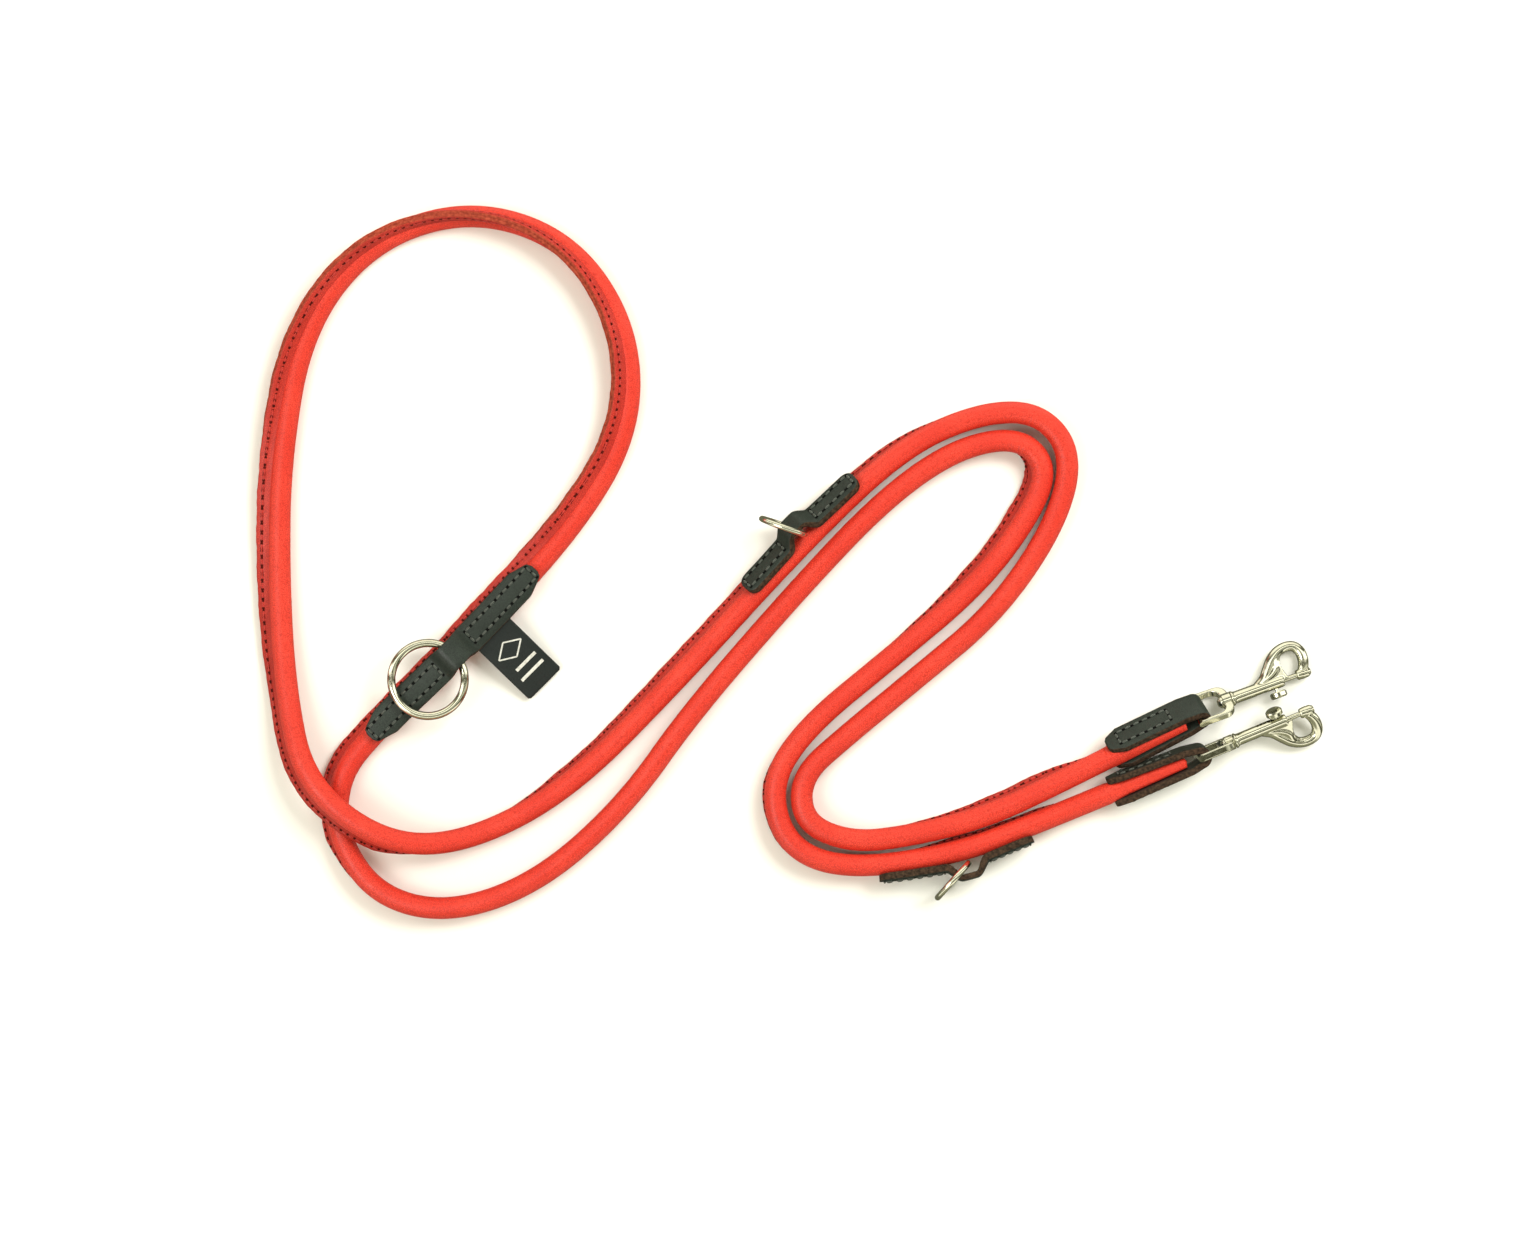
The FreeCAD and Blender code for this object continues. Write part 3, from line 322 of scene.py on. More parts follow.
# Each thread's lighter colour is its painted highlight.
RED_THREAD = thread("red_thread", (0.34, 0.014, 0.010), (0.60, 0.035, 0.022))
BLACK_THREAD = thread("black_thread", (0.018, 0.023, 0.018), (0.10, 0.115, 0.095))
NICKEL = nickel("nickel", (0.84, 0.83, 0.69), 0.13)
SPRING = nickel("spring_steel", (0.60, 0.60, 0.58), 0.30)
LABEL = leather("label_face", (0.010, 0.016, 0.015), (0.017, 0.024, 0.022), (0.006, 0.008, 0.008), 0.55,
                2600.0, 0.00002)
LABEL_EDGE = raw_edge("label_edge", (0.010, 0.012, 0.012), (0.030, 0.032, 0.030))
PRINT = raw_edge("label_print", (0.52, 0.52, 0.47), (0.72, 0.72, 0.66))


# ---------------------------------------------------------------- mesh helpers

def make_piece(name, vertices, faces, materials, indices=None):
    """A smooth-shaded piece on the root body."""
    mesh = bpy.data.meshes.new(name)
    mesh.from_pydata([tuple(v) for v in vertices], [], faces)
    for material in materials:
        mesh.materials.append(material)
    for number, polygon in enumerate(mesh.polygons):
        polygon.use_smooth = True
        if indices is not None:
            polygon.material_index = indices[number]
    mesh.update()
    piece = bpy.data.objects.new(name, mesh)
    scene.collection.objects.link(piece)
    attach(piece, "root")
    return piece


def skin(name, sections, materials, section_materials=None, cap_material=0):
    """Joins closed sections, each a list of points, into one closed tube with fanned caps."""
    count = len(sections[0])
    vertices = [point for section in sections for point in section]
    faces, indices = [], []
    for row in range(len(sections) - 1):
        for k in range(count):
            a, b = row * count + k, row * count + (k + 1) % count
            faces.append((a, b, b + count, a + count))
            indices.append(0 if section_materials is None else section_materials[k])
    for row, order in ((0, -1), (len(sections) - 1, 1)):
        middle = sum(sections[row], Vector()) / count
        vertices.append(middle)
        hub = len(vertices) - 1
        for k in range(count):
            a, b = row * count + k, row * count + (k + 1) % count
            faces.append((hub, a, b) if order > 0 else (hub, b, a))
            indices.append(cap_material)
    return make_piece(name, vertices, faces, materials, indices)


def stitches(name, places, material):
    """One mesh of small plump threads: each place is (middle, direction, normal, length, width)."""
    rings = [(-1.0, 0.0), (-0.86, 0.62), (-0.45, 0.96), (0.0, 1.0), (0.45, 0.96), (0.86, 0.62), (1.0, 0.0)]
    sides, arch, thinnest = 8, 0.18, 0.005 * MM
    vertices, faces = [], []
    for middle, direction, normal, length, width in places:
        across = direction.cross(normal).normalized()
        start = len(vertices)
        for along, fat in rings:
            bow = (1 - along * along) * arch * width
            centre = middle + direction * (along * length / 2) + normal * bow
            for k in range(sides):
                turn = 2 * math.pi * k / sides
                offset = across * math.cos(turn) + normal * math.sin(turn)
                vertices.append(centre + offset * (fat * width / 2 + thinnest))
        for row in range(len(rings) - 1):
            for k in range(sides):
                a, b = start + row * sides + k, start + row * sides + (k + 1) % sides
                faces.append((a, b, b + sides, a + sides))
    return make_piece(name, vertices, faces, [material])


def needle_hole_shades(name, places, material=HOLE_SHADE):
    """Dark discs of painted shade at the stitches' ends, where the thread goes down into the leather."""
    sides = 10
    half_long, half_wide = 0.68 * MM, 0.60 * MM
    past_thread, lift = 0.24 * MM, 0.07 * MM
    rim = ((0.62, 0.01 * MM), (1.0, -0.03 * MM))
    vertices, faces = [], []
    for middle, direction, normal, length, _ in places:
        across = direction.cross(normal).normalized()
        for end in (-1, 1):
            centre = middle + direction * (end * (length / 2 + past_thread)) + normal * lift
            start = len(vertices)
            vertices.append(centre - normal * (0.01 * MM))
            for reach, rise in rim:
                for k in range(sides):
                    turn = 2 * math.pi * k / sides
                    flat = direction * (math.cos(turn) * half_long) + across * (math.sin(turn) * half_wide)
                    vertices.append(centre + flat * reach + normal * rise)
            for k in range(sides):
                a, b = start + 1 + k, start + 1 + (k + 1) % sides
                faces.append((start, a, b))
                faces.append((a, a + sides, b + sides, b))
    made = make_piece(name, vertices, faces, [material])
    return made


# ---------------------------------------------------------------- rolled line

def make_line():
    """The rolled cover as one tube, with its unrolled layout and how hard a bend squeezes each point."""
    sides = 32
    tight = 0.030
    vertices, faces, uvs, squeeze = [], [], [], []
    for i, point in enumerate(PATH):
        left, up = left_and_up(ALONG[i])
        bend = bend_at(i)
        for k in range(sides):
            turn = 2 * math.pi * k / sides
            out = left * math.cos(turn) + up * math.sin(turn)
            vertices.append(point + out * LINE_RADIUS)
            squeeze.append(max(0.0, min(1.0, bend.dot(out) * tight)))
    for i in range(len(PATH) - 1):
        for k in range(sides):
            a, b = i * sides + k, i * sides + (k + 1) % sides
            faces.append((a, b, b + sides, a + sides))
            uvs.extend([(RUN[i], k / sides), (RUN[i], (k + 1) / sides),
                        (RUN[i + 1], (k + 1) / sides), (RUN[i + 1], k / sides)])
    faces.append(tuple(range(sides - 1, -1, -1)))
    faces.append(tuple((len(PATH) - 1) * sides + k for k in range(sides)))
    uvs.extend([(0, 0)] * (2 * sides))
    line = make_piece("line_leather", vertices, faces, [RED])
    layer = line.data.uv_layers.new(name="line")
    for item, uv in zip(layer.data, uvs):
        item.uv = uv
    attribute = line.data.attributes.new("squeeze", "FLOAT", "POINT")
    attribute.data.foreach_set("value", squeeze)
    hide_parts("line_cover", "line_core")
    return line


SEAM_REACH = 9.3 * MM
PLY = 1.55 * MM
# The flange sinks back into the line over this length at both ends.
SEAM_FADE, SEAM_SINK = 32 * MM, 4.9 * MM
# Stitch row, from the line's middle.
SEAM_ROW = 6.9 * MM
# Leather or cut edge, for each side of the flange's section.
SEAM_KINDS = [0] * 5 + [1] * 4 + [0] * 6


def seam_frame(index):
    """Outward direction and thickness direction of the flange, and how far out it reaches."""
    left, up = left_and_up(ALONG[index])
    angle = seam_angle(index)
    out = left * math.cos(angle) + up * math.sin(angle)
    across = up * math.cos(angle) - left * math.sin(angle)
    from_end = min(RUN[index], RUN[-1] - RUN[index])
    fading = max(0.0, 1.0 - from_end / SEAM_FADE)
    reach = SEAM_REACH - SEAM_SINK * fading * fading * (3 - 2 * fading)
    if out.z < -0.05:
        clear = PATH[index].z - 0.2 * MM - PLY * abs(across.z)
        reach = min(reach, clear / -out.z)
    return out, across, reach


def make_seam():
    """Two plies standing off the line where the cover is sewn shut, with a cut edge at their tips."""
    sections = []
    round_off, cleft = 0.3 * MM, 0.22 * MM
    for i in range(2, len(PATH) - 2):
        out, across, reach = seam_frame(i)
        wave = 0.12 * MM * math.sin(RUN[i] * 410.0) + 0.08 * MM * math.sin(RUN[i] * 1270.0)
        tip = reach + wave - 0.12 * MM
        share = min(1.0, (tip - 0.5 * MM) / (6.4 * MM))
        profile = [
            (3.2 * MM, 2.3 * MM), (4.3 * MM * share, 1.95 * MM),
            (5.3 * MM * share, PLY + 0.06 * MM), (6.4 * MM * share, PLY),
            (tip - round_off, PLY), (tip, PLY - round_off), (tip, cleft), (tip - round_off, 0.0),
        ]
        mirrored = [(r, -h) for r, h in reversed(profile[:-1])]
        outline = profile + mirrored
        sections.append([PATH[i] + out * r + across * h for r, h in outline])
    seam = skin("line_seam", sections, [SHADED_SEAM_RED, RED_EDGE], SEAM_KINDS, 1)
    return seam


def make_seam_stitches():
    """A row of stitches on each face of the flange, and painted shade for the needle holes that don't face
    the table.
    """
    pitch, long, wide = 3.3 * MM, 2.5 * MM, 0.62 * MM
    places = []
    target = pitch
    for i in range(3, len(PATH) - 3):
        if RUN[i] < target:
            continue
        target += pitch
        out, across, reach = seam_frame(i)
        row = min(SEAM_ROW, reach - 1.5 * MM)
        for side in (1, -1):
            middle = PATH[i] + out * row + across * side * (PLY + 0.05 * MM)
            places.append((middle, ALONG[i], across * side, long, wide))
    made = stitches("line_seam_stitches", places, RED_THREAD)
    open_places = [place for place in places if place[0].z > 0.8 * MM]
    return made, needle_hole_shades("line_seam_hole_shade", open_places, RED_HOLE_SHADE)


line = make_line()
seam = make_seam()
seam_stitches, seam_hole_shade = make_seam_stitches()


# ---------------------------------------------------------------- straps

CUP = 0.5 * MM
CUP_WIDTH = 5.5 * MM


def strap_section(centre, side, out, half_width, half_thick, cup=0.0):
    """Rounded rectangle: outer face, edge, inner face, edge. Cupped towards -out at its sides."""
    corner = min(0.55 * MM, half_thick * 0.45)
    chamfer = corner * 0.29
    flat = half_width - corner
    spread = (-1.0, -0.6, -0.2, 0.2, 0.6, 1.0)
    points = [(flat * share, half_thick) for share in spread]
    points += [(half_width - chamfer, half_thick - chamfer), (half_width, half_thick - corner)]
    points += [(half_width, -half_thick + corner), (half_width - chamfer, -half_thick + chamfer)]
    points += [(flat * share, -half_thick) for share in reversed(spread)]
    points += [(-half_width + chamfer, -half_thick + chamfer), (-half_width, -half_thick + corner)]
    points += [(-half_width, half_thick - corner), (-half_width + chamfer, half_thick - chamfer)]
    return [centre + side * y + out * (z - cup * (y / CUP_WIDTH) ** 2) for y, z in points]


# Grain or raw edge, for each side of that section.
STRAP_KINDS = [0] * 5 + [0, 1, 1, 1] + [0] * 6 + [0, 1, 1, 1, 0]


def rounded_width(distance, half_width, radius):
    """Half width at a distance from a strap's end whose corners are rounded."""
    if distance >= radius:
        return half_width
    gap = radius - max(distance, 0.0)
    return half_width - radius + math.sqrt(max(radius * radius - gap * gap, 0.0))


def path_at(run):
    """Point and direction on the line at a distance along it."""
    low, high = 0, len(RUN) - 1
    while high - low > 1:
        middle = (low + high) // 2
        if RUN[middle] <= run:
            low = middle
        else:
            high = middle
    share = (run - RUN[low]) / (RUN[high] - RUN[low])
    return PATH[low].lerp(PATH[high], share), ALONG[low].lerp(ALONG[high], share).normalized()


# Lean of each strap's face from straight up, its reach each way from the tunnel's middle, its half width, and
# where the ring's wire lies in the tunnel: along, across and above the line. Degrees and millimetres.
KEEPERS = {
    1: {"lean": 0.0, "head": 47.0, "tail": 47.0, "half": 6.3, "wire": (0.3, 0.0, 1.7), "end": "taper"},
    2: {"lean": 47.0, "head": 31.0, "tail": 31.0, "half": 5.5, "wire": (-0.3, 0.0, 1.35), "end": "round"},
    3: {"lean": 83.0, "head": 34.0, "tail": 28.0, "half": 5.5, "wire": (0.4, 0.3, 1.35), "end": "round"},
}
STRAP_THICK = 3.0 * MM
TUNNEL = 4.9 * MM
# The tunnel's flat top ends, and its feet touch the line, at these distances from its middle.
TUNNEL_TOP, TUNNEL_FOOT = 2.6, 8.6


def keeper_axes(direction, lean):
    """Directions out of the strap's face and across it."""
    left, up = left_and_up(direction)
    face = up * math.cos(math.radians(lean)) - left * math.sin(math.radians(lean))
    return face, face.cross(direction)


def tunnel_rise(distance):
    """Height of the strap over the tunnel, as a share of its full height."""
    away = abs(distance) / MM
    if away < TUNNEL_TOP:
        return 1.0
    if away > TUNNEL_FOOT:
        return 0.0
    return 0.5 + 0.5 * math.cos(math.pi * (away - TUNNEL_TOP) / (TUNNEL_FOOT - TUNNEL_TOP))


def keeper_surface(number):
    """Rows along the strap: distance, middle point, and its width, face and length directions."""
    facts = KEEPERS[number]
    hinge = Vector(JOINTS["ring_%d_swing" % number]["pos_m"])
    nearest = min(range(len(PATH)), key=lambda i: (PATH[i] - hinge).length)
    along, across, height = [value * MM for value in facts["wire"]]
    start = RUN[nearest] - along
    place, direction = path_at(start)
    face, side = keeper_axes(direction, facts["lean"])
    shift = hinge - face * (LINE_RADIUS + height) - direction * along - side * across - place
    reach = facts["head"] * MM, facts["tail"] * MM
    steps = 120
    rows = []
    for k in range(steps + 1):
        distance = -reach[0] + (reach[0] + reach[1]) * k / steps
        point, direction = path_at(start + distance)
        face, side = keeper_axes(direction, facts["lean"])
        fade = max(0.0, 1.0 - abs(distance) / (30 * MM))
        sink = 0.35 * MM * min(1.0, max(0.0, abs(distance) - 8 * MM) / (10 * MM))
        level = LINE_RADIUS + 0.1 * MM - sink + STRAP_THICK / 2 + TUNNEL * tunnel_rise(distance)
        rows.append([distance, point + shift * fade + face * level, side, face])
    points = [row[1] for row in rows]
    for row, direction in zip(rows, tangents(points)):
        outward = direction.cross(row[2]).normalized()
        row[3] = outward if outward.dot(row[3]) > 0 else -outward
        row.append(direction)
    return rows


def make_keeper(number):
    """One keeper's strap, its stitches and painted shade for their needle holes."""
    facts = KEEPERS[number]
    rows = keeper_surface(number)
    sections = []
    end_half, taper = 3.4 * MM, 9.0 * MM
    for distance, point, side, out, _ in rows:
        near = min(distance + facts["head"] * MM, facts["tail"] * MM - distance)
        full = facts["half"] * MM
        if facts["end"] == "taper":
            half = min(full, end_half + (full - end_half) * near / taper)
            half = min(half, rounded_width(near, half, 1.8 * MM))
        else:
            half = rounded_width(near, full, 4.0 * MM)
        flat = tunnel_rise(distance)
        thick = STRAP_THICK / 2 - 0.18 * MM * max(0.0, 1 - near / (4 * MM)) - 0.3 * MM * flat
        half -= 0.6 * MM * flat
        sections.append(strap_section(point, side, out, half, thick, CUP * (1 - flat)))
    strap = skin("keeper_strap_%d" % number, sections, [BLACK, BLACK_EDGE], STRAP_KINDS, 1)
    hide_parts("keeper_%d" % number)
    from_tunnel, from_end, box_half = 8.9 * MM, 1.9 * MM, 2.9 * MM
    places = box_stitches(rows, -facts["head"] * MM + from_end, -from_tunnel, box_half, CUP, STRAP_THICK)
    places += box_stitches(rows, from_tunnel, facts["tail"] * MM - from_end, box_half, CUP, STRAP_THICK)
    needle_hole_shades("keeper_holes_%d" % number, places)
    made = stitches("keeper_stitches_%d" % number, places, BLACK_THREAD)
    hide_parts("keeper_%d_thread_head" % number, "keeper_%d_thread_tail" % number)


def on_strap(rows, distance, y, cup, thick):
    """Point on the strap's outer face, with its direction and normal."""
    first = rows[0][0]
    pitch = rows[1][0] - rows[0][0]
    index = min(max(int(round((distance - first) / pitch)), 0), len(rows) - 1)
    _, point, side, out, direction = rows[index]
    slide = distance - rows[index][0]
    rise = thick / 2 - cup * (y / CUP_WIDTH) ** 2 + 0.02 * MM
    return point + direction * slide + side * y + out * rise, direction, side, out


def box_stitches(rows, low, high, half, cup, thick):
    """A box of separate stitches: two long rows and two stitches across each end."""
    long, wide, pitch = 2.6 * MM, 0.86 * MM, 3.75 * MM
    count = max(2, int(round((high - low) / pitch)))
    step = (high - low) / count
    places = []
    for y in (-half, half):
        for k in range(count):
            middle, direction, _, out = on_strap(rows, low + step * (k + 0.5), y, cup, thick)
            places.append((middle, direction, out, long, wide))
    for end in (low, high):
        for y in (-half * 0.5, half * 0.5):
            middle, _, side, out = on_strap(rows, end, y, cup, thick)
            places.append((middle, side, out, long, wide))
    return places


for number in KEEPERS:
    make_keeper(number)


# ---------------------------------------------------------------- label

LABEL_LONG, LABEL_HALF, LABEL_THICK = 30.5 * MM, 9.0 * MM, 0.8 * MM
# From the ring's wire to the middle of the label's root: along the strap, down, and out from under it.
LABEL_ROOT = (16.7 * MM, 2.05 * MM, 4.45 * MM)
LABEL_FALL = math.radians(13.5)
LABEL_CURL, LABEL_CURVE = 0.45 * MM, 0.2 * MM


def label_place(u, w, height):
    """A point on the label: u out from under the strap, w along the strap, height off its middle plane."""
    hinge = Vector(JOINTS["ring_1_swing"]["pos_m"])
    across = Vector(JOINTS["ring_1_swing"]["axis"]).normalized()
    along = UP.cross(across).normalized()
    if along.dot(ALONG[min(range(len(PATH)), key=lambda i: (PATH[i] - hinge).length)]) < 0:
        along = -along
    outward = UP.cross(along)
    base = hinge - along * LABEL_ROOT[0] - UP * LABEL_ROOT[1] + outward * LABEL_ROOT[2]
    direction = outward * math.cos(LABEL_FALL) - UP * math.sin(LABEL_FALL)
    normal = along.cross(direction)
    normal = normal if normal.z > 0 else -normal
    curl = LABEL_CURL * math.sin(math.pi * u / LABEL_LONG) + LABEL_CURVE * (w / LABEL_HALF) ** 2
    return base + direction * u + along * w + normal * (height + curl), along, normal


def make_label():
    """Thin label sewn in under the strap, sloping down beside it."""
    sections = []
    steps = 40
    for k in range(steps + 1):
        u = LABEL_LONG * k / steps
        half = rounded_width(LABEL_LONG - u, LABEL_HALF, 0.9 * MM)
        point, along, normal = label_place(u, 0.0, 0.0)
        sections.append(strap_section(point, along, normal, half, LABEL_THICK / 2))
    label = skin("label_sheet", sections, [LABEL, LABEL_EDGE], STRAP_KINDS, 1)
    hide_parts("side_label")


def make_label_print():
    """A printed lozenge and two bars, standing a hair proud of the label."""
    line_wide, bar_wide = 0.62 * MM, 1.364 * MM
    proud = LABEL_THICK / 2 + 0.04 * MM
    steps = 8
    lozenge = [(6.2 * MM, 0.0), (10.2 * MM, 6.2 * MM), (14.2 * MM, 0.0), (10.2 * MM, -6.2 * MM)]
    strokes = [(lozenge[k], lozenge[(k + 1) % 4], line_wide) for k in range(4)]
    strokes += [((18.2 * MM, -6.4 * MM), (18.2 * MM, 4.2 * MM), bar_wide)]
    strokes += [((22.6 * MM, -6.4 * MM), (22.6 * MM, 5.6 * MM), bar_wide)]
    vertices, faces = [], []
    for (u1, w1), (u2, w2), wide in strokes:
        run = math.hypot(u2 - u1, w2 - w1)
        du, dw = (w2 - w1) / run * wide / 2, -(u2 - u1) / run * wide / 2
        start = len(vertices)
        for k in range(steps + 1):
            share = k / steps
            u, w = u1 + (u2 - u1) * share, w1 + (w2 - w1) * share
            for sign in (-1, 1):
                vertices.append(label_place(u + du * sign, w + dw * sign, proud)[0])
        for k in range(steps):
            a = start + 2 * k
            faces.append((a, a + 1, a + 3, a + 2))
    printed = make_piece("label_print", vertices, faces, [PRINT])


make_label()
make_label_print()


# ---------------------------------------------------------------- folded tabs

def tab_frame(side):
    """At the eye's bar: X towards the snap, Y along the bar, Z out of the tab's face."""
    joint = JOINTS["eye_%s_swing" % side]
    y = Vector(joint["axis"]).normalized()
    x = Vector((y.y, -y.x, 0)).normalized()
    z = x.cross(y)
    turn = Matrix((x, y, z)).transposed().to_4x4()
    return Matrix.Translation(Vector(joint["pos_m"])) @ turn


TAB_HALF, TAB_END_HALF, TAB_TAPER = 6.3 * MM, 3.3 * MM, 6.0 * MM
# Middle plane of the folded strap, in millimetres from the eye's bar: how far back its legs reach and half
# their spread there, the same where they bend in, and the fold's radius round the bar.
LEG, LEG_SPREAD = 38.0, 4.8
WAIST, WAIST_SPREAD = 5.0, 3.9
FOLD = 3.0


def make_tab(side):
    """Strap folded round the eye's bar, with its legs on both sides of the line's end, and its stitches."""
    place = tab_frame(side)
    leg_steps, waist_steps, fold_steps = 44, 5, 24
    outline = []
    for k in range(leg_steps):
        share = k / leg_steps
        outline.append((-LEG + (LEG - WAIST) * share, -(LEG_SPREAD - (LEG_SPREAD - WAIST_SPREAD) * share)))
    for k in range(waist_steps):
        share = k / waist_steps
        outline.append((-WAIST + WAIST * share, -(WAIST_SPREAD - (WAIST_SPREAD - FOLD) * share)))
    for k in range(fold_steps + 1):
        turn = -math.pi / 2 + math.pi * k / fold_steps
        outline.append((FOLD * math.cos(turn), FOLD * math.sin(turn)))
    outline += [(x, -z) for x, z in reversed(outline[:leg_steps + waist_steps])]
    points = [place @ Vector((x * MM, 0, z * MM)) for x, z in outline]
    across = (place.to_3x3() @ Vector((0, 1, 0))).normalized()
    rows = []
    travelled = 0.0
    for i, (point, direction) in enumerate(zip(points, tangents(points))):
        if i:
            travelled += (point - points[i - 1]).length
        rows.append([travelled, point, across, across.cross(direction).normalized() * -1, direction])
    total = rows[-1][0]
    middle = place @ Vector((-10 * MM, 0, 0))
    if (rows[10][1] - middle).dot(rows[10][3]) < 0:
        for row in rows:
            row[3] = -row[3]
    sections = []
    for distance, point, side_way, out, _ in rows:
        near = min(distance, total - distance)
        half = min(TAB_HALF, TAB_END_HALF + (TAB_HALF - TAB_END_HALF) * near / TAB_TAPER)
        half = min(half, rounded_width(near, half, 1.2 * MM))
        thick = 1.45 * MM - 0.15 * MM * max(0.0, 1 - near / (30 * MM))
        sections.append(strap_section(point, side_way, out, half, thick))
    strap = skin("tab_strap_" + side, sections, [BLACK, BLACK_EDGE], STRAP_KINDS, 1)
    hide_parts("hook_tab_" + side)
    even = resample(rows)
    box_start, box_end, box_half, tab_thick = 5.2 * MM, 27.5 * MM, 3.2 * MM, 2.75 * MM
    places = box_stitches(even, box_start, box_end, box_half, 0.0, tab_thick)
    places += box_stitches(even, total - box_end, total - box_start, box_half, 0.0, tab_thick)
    # Painted shade for the needle holes.
    needle_hole_shades("tab_hole_shade_" + side, places)
    made = stitches("tab_stitches_" + side, places, BLACK_THREAD)
    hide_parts("hook_tab_%s_thread_front" % side, "hook_tab_%s_thread_back" % side)


def resample(rows):
    """The same strap at even distances."""
    total = rows[-1][0]
    steps = 240
    made = []
    index = 0
    for k in range(steps + 1):
        distance = total * k / steps
        while index < len(rows) - 2 and rows[index + 1][0] < distance:
            index += 1
        first, second = rows[index], rows[index + 1]
        share = (distance - first[0]) / (second[0] - first[0])
        made.append([distance, first[1].lerp(second[1], share), first[2],
                     first[3].lerp(second[3], share).normalized(),
                     first[4].lerp(second[4], share).normalized()])
    return made


# How far the tongue's tip lies to the side in its tab, and how far short of the eye's bar it ends.
TONGUE_SIDE = {"a": -1.5 * MM, "b": 0.0}
TONGUE_GAP = 5.3 * MM


def make_tongue(side):
    """The line's flattened end, from its round section to a blunt tip between the tab's legs."""
    place = tab_frame(side)
    back = place.inverted()
    end, direction = (PATH[0], -ALONG[0]) if side == "a" else (PATH[-1], ALONG[-1])
    start = back @ (end - direction * 5 * MM)
    mouth = back @ end
    tip = Vector((-TONGUE_GAP, TONGUE_SIDE[side], 0))
    sections = []
    steps, sides = 40, 28
    inside = 0.12
    full, pressed, thinned = 4.43 * MM, 1.25 * MM, 0.92 * MM
    for k in range(steps + 1):
        share = k / steps
        if share < inside:
            centre = start.lerp(mouth, share / inside)
        else:
            centre = mouth.lerp(tip, (share - inside) / (1 - inside))
        flat = min(1.0, max(0.0, (share - 0.05) / 0.3))
        flat = flat * flat * (3 - 2 * flat)
        hidden = 0.6 * MM * max(0.0, 1 - share / 0.08)
        wide = full - hidden
        thick = full - hidden - pressed * flat - thinned * max(0.0, (share - 0.35) / 0.65)
        close = min(1.0, (1 - share) / 0.035)
        end_round = math.sqrt(max(0.0, 1 - (1 - close) ** 2)) * 0.35 + 0.65 * min(1.0, close * 3)
        power = 2.0 / (2.0 + 1.6 * flat)
        section = []
        for j in range(sides):
            turn = 2 * math.pi * j / sides
            c, s = math.cos(turn), math.sin(turn)
            y = wide * end_round * math.copysign(abs(c) ** power, c)
            z = thick * end_round * math.copysign(abs(s) ** power, s)
            section.append(place @ (centre + Vector((0, y, z))))
        sections.append(section)
    tongue = skin("line_end_" + side, sections, [RED, RED_EDGE], None, 1)
    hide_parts("line_tongue_" + side)
    return tongue


for side in "ab":
    make_tab(side)
tongues = [make_tongue(side) for side in "ab"]


# ---------------------------------------------------------------- snap castings

# How the eye swings in its tab and how the snap is turned on its swivel, in degrees, as in the model.
SNAP_TURN = {"a": (9.4, 43.0), "b": (0.0, -75.0)}
# The casting, in millimetres from its swivel end: turned parts are (x, radius), rods (x, y, radius).
BARREL = [
    (0.0, 2.75), (0.15, 3.1), (0.95, 3.1), (1.15, 2.8), (1.5, 2.55), (2.0, 2.5), (21.9, 2.5), (22.5, 2.35),
    (22.8, 2.0),
]
HOOK_ROD = [
    (10.4, 0.2, 1.8), (12.6, 1.4, 1.9), (15.6, 3.2, 2.05), (18.4, 6.4, 2.15), (21.0, 9.3, 2.2),
    (24.4, 11.5, 2.15), (28.0, 12.3, 2.05), (31.2, 11.5, 2.1), (33.0, 9.0, 2.2), (33.3, 5.9, 2.2),
    (32.6, 3.1, 2.15), (31.4, 1.1, 2.0),
]
HOOK_PLATE = [
    (10.0, 0.0), (12.6, 1.4), (15.6, 3.2), (18.4, 6.4), (21.0, 9.3), (24.4, 11.5), (26.2, 10.6),
    (24.9, 9.8), (23.9, 8.2), (23.5, 6.0), (23.8, 3.8), (24.5, 1.6), (24.9, 0.0),
]
WEB_ROD = [
    (12.0, 1.0, 1.9), (15.5, 2.2, 2.1), (19.0, 3.6, 2.2), (21.3, 5.6, 2.25), (21.9, 8.2, 2.1),
    (23.4, 10.4, 1.9),
]
PLATE_HALF = 1.9
NOSE = [(28.3, 1.5), (28.7, 2.05), (30.8, 2.25), (33.2, 2.1), (34.4, 1.2)]
BORE = [(2.2, 1.7), (20.5, 1.7)]
BOLT_HOLE = [(20.0, 1.12), (33.0, 1.12)]
KNOB_SLOT = (10.4, -4.0, -0.95), (19.9, 0.0, 0.95)
VOXEL = 0.2


def turned(profile):
    """Closed solid turned about X from (x, radius) pairs."""
    sides = 32
    vertices, faces = [], []
    for x, radius in profile:
        for k in range(sides):
            turn = 2 * math.pi * k / sides
            vertices.append(Vector((x, radius * math.cos(turn), radius * math.sin(turn))))
    for row in range(len(profile) - 1):
        for k in range(sides):
            a, b = row * sides + k, row * sides + (k + 1) % sides
            faces.append((a, b, b + sides, a + sides))
    faces.append(tuple(range(sides - 1, -1, -1)))
    faces.append(tuple((len(profile) - 1) * sides + k for k in range(sides)))
    return vertices, faces


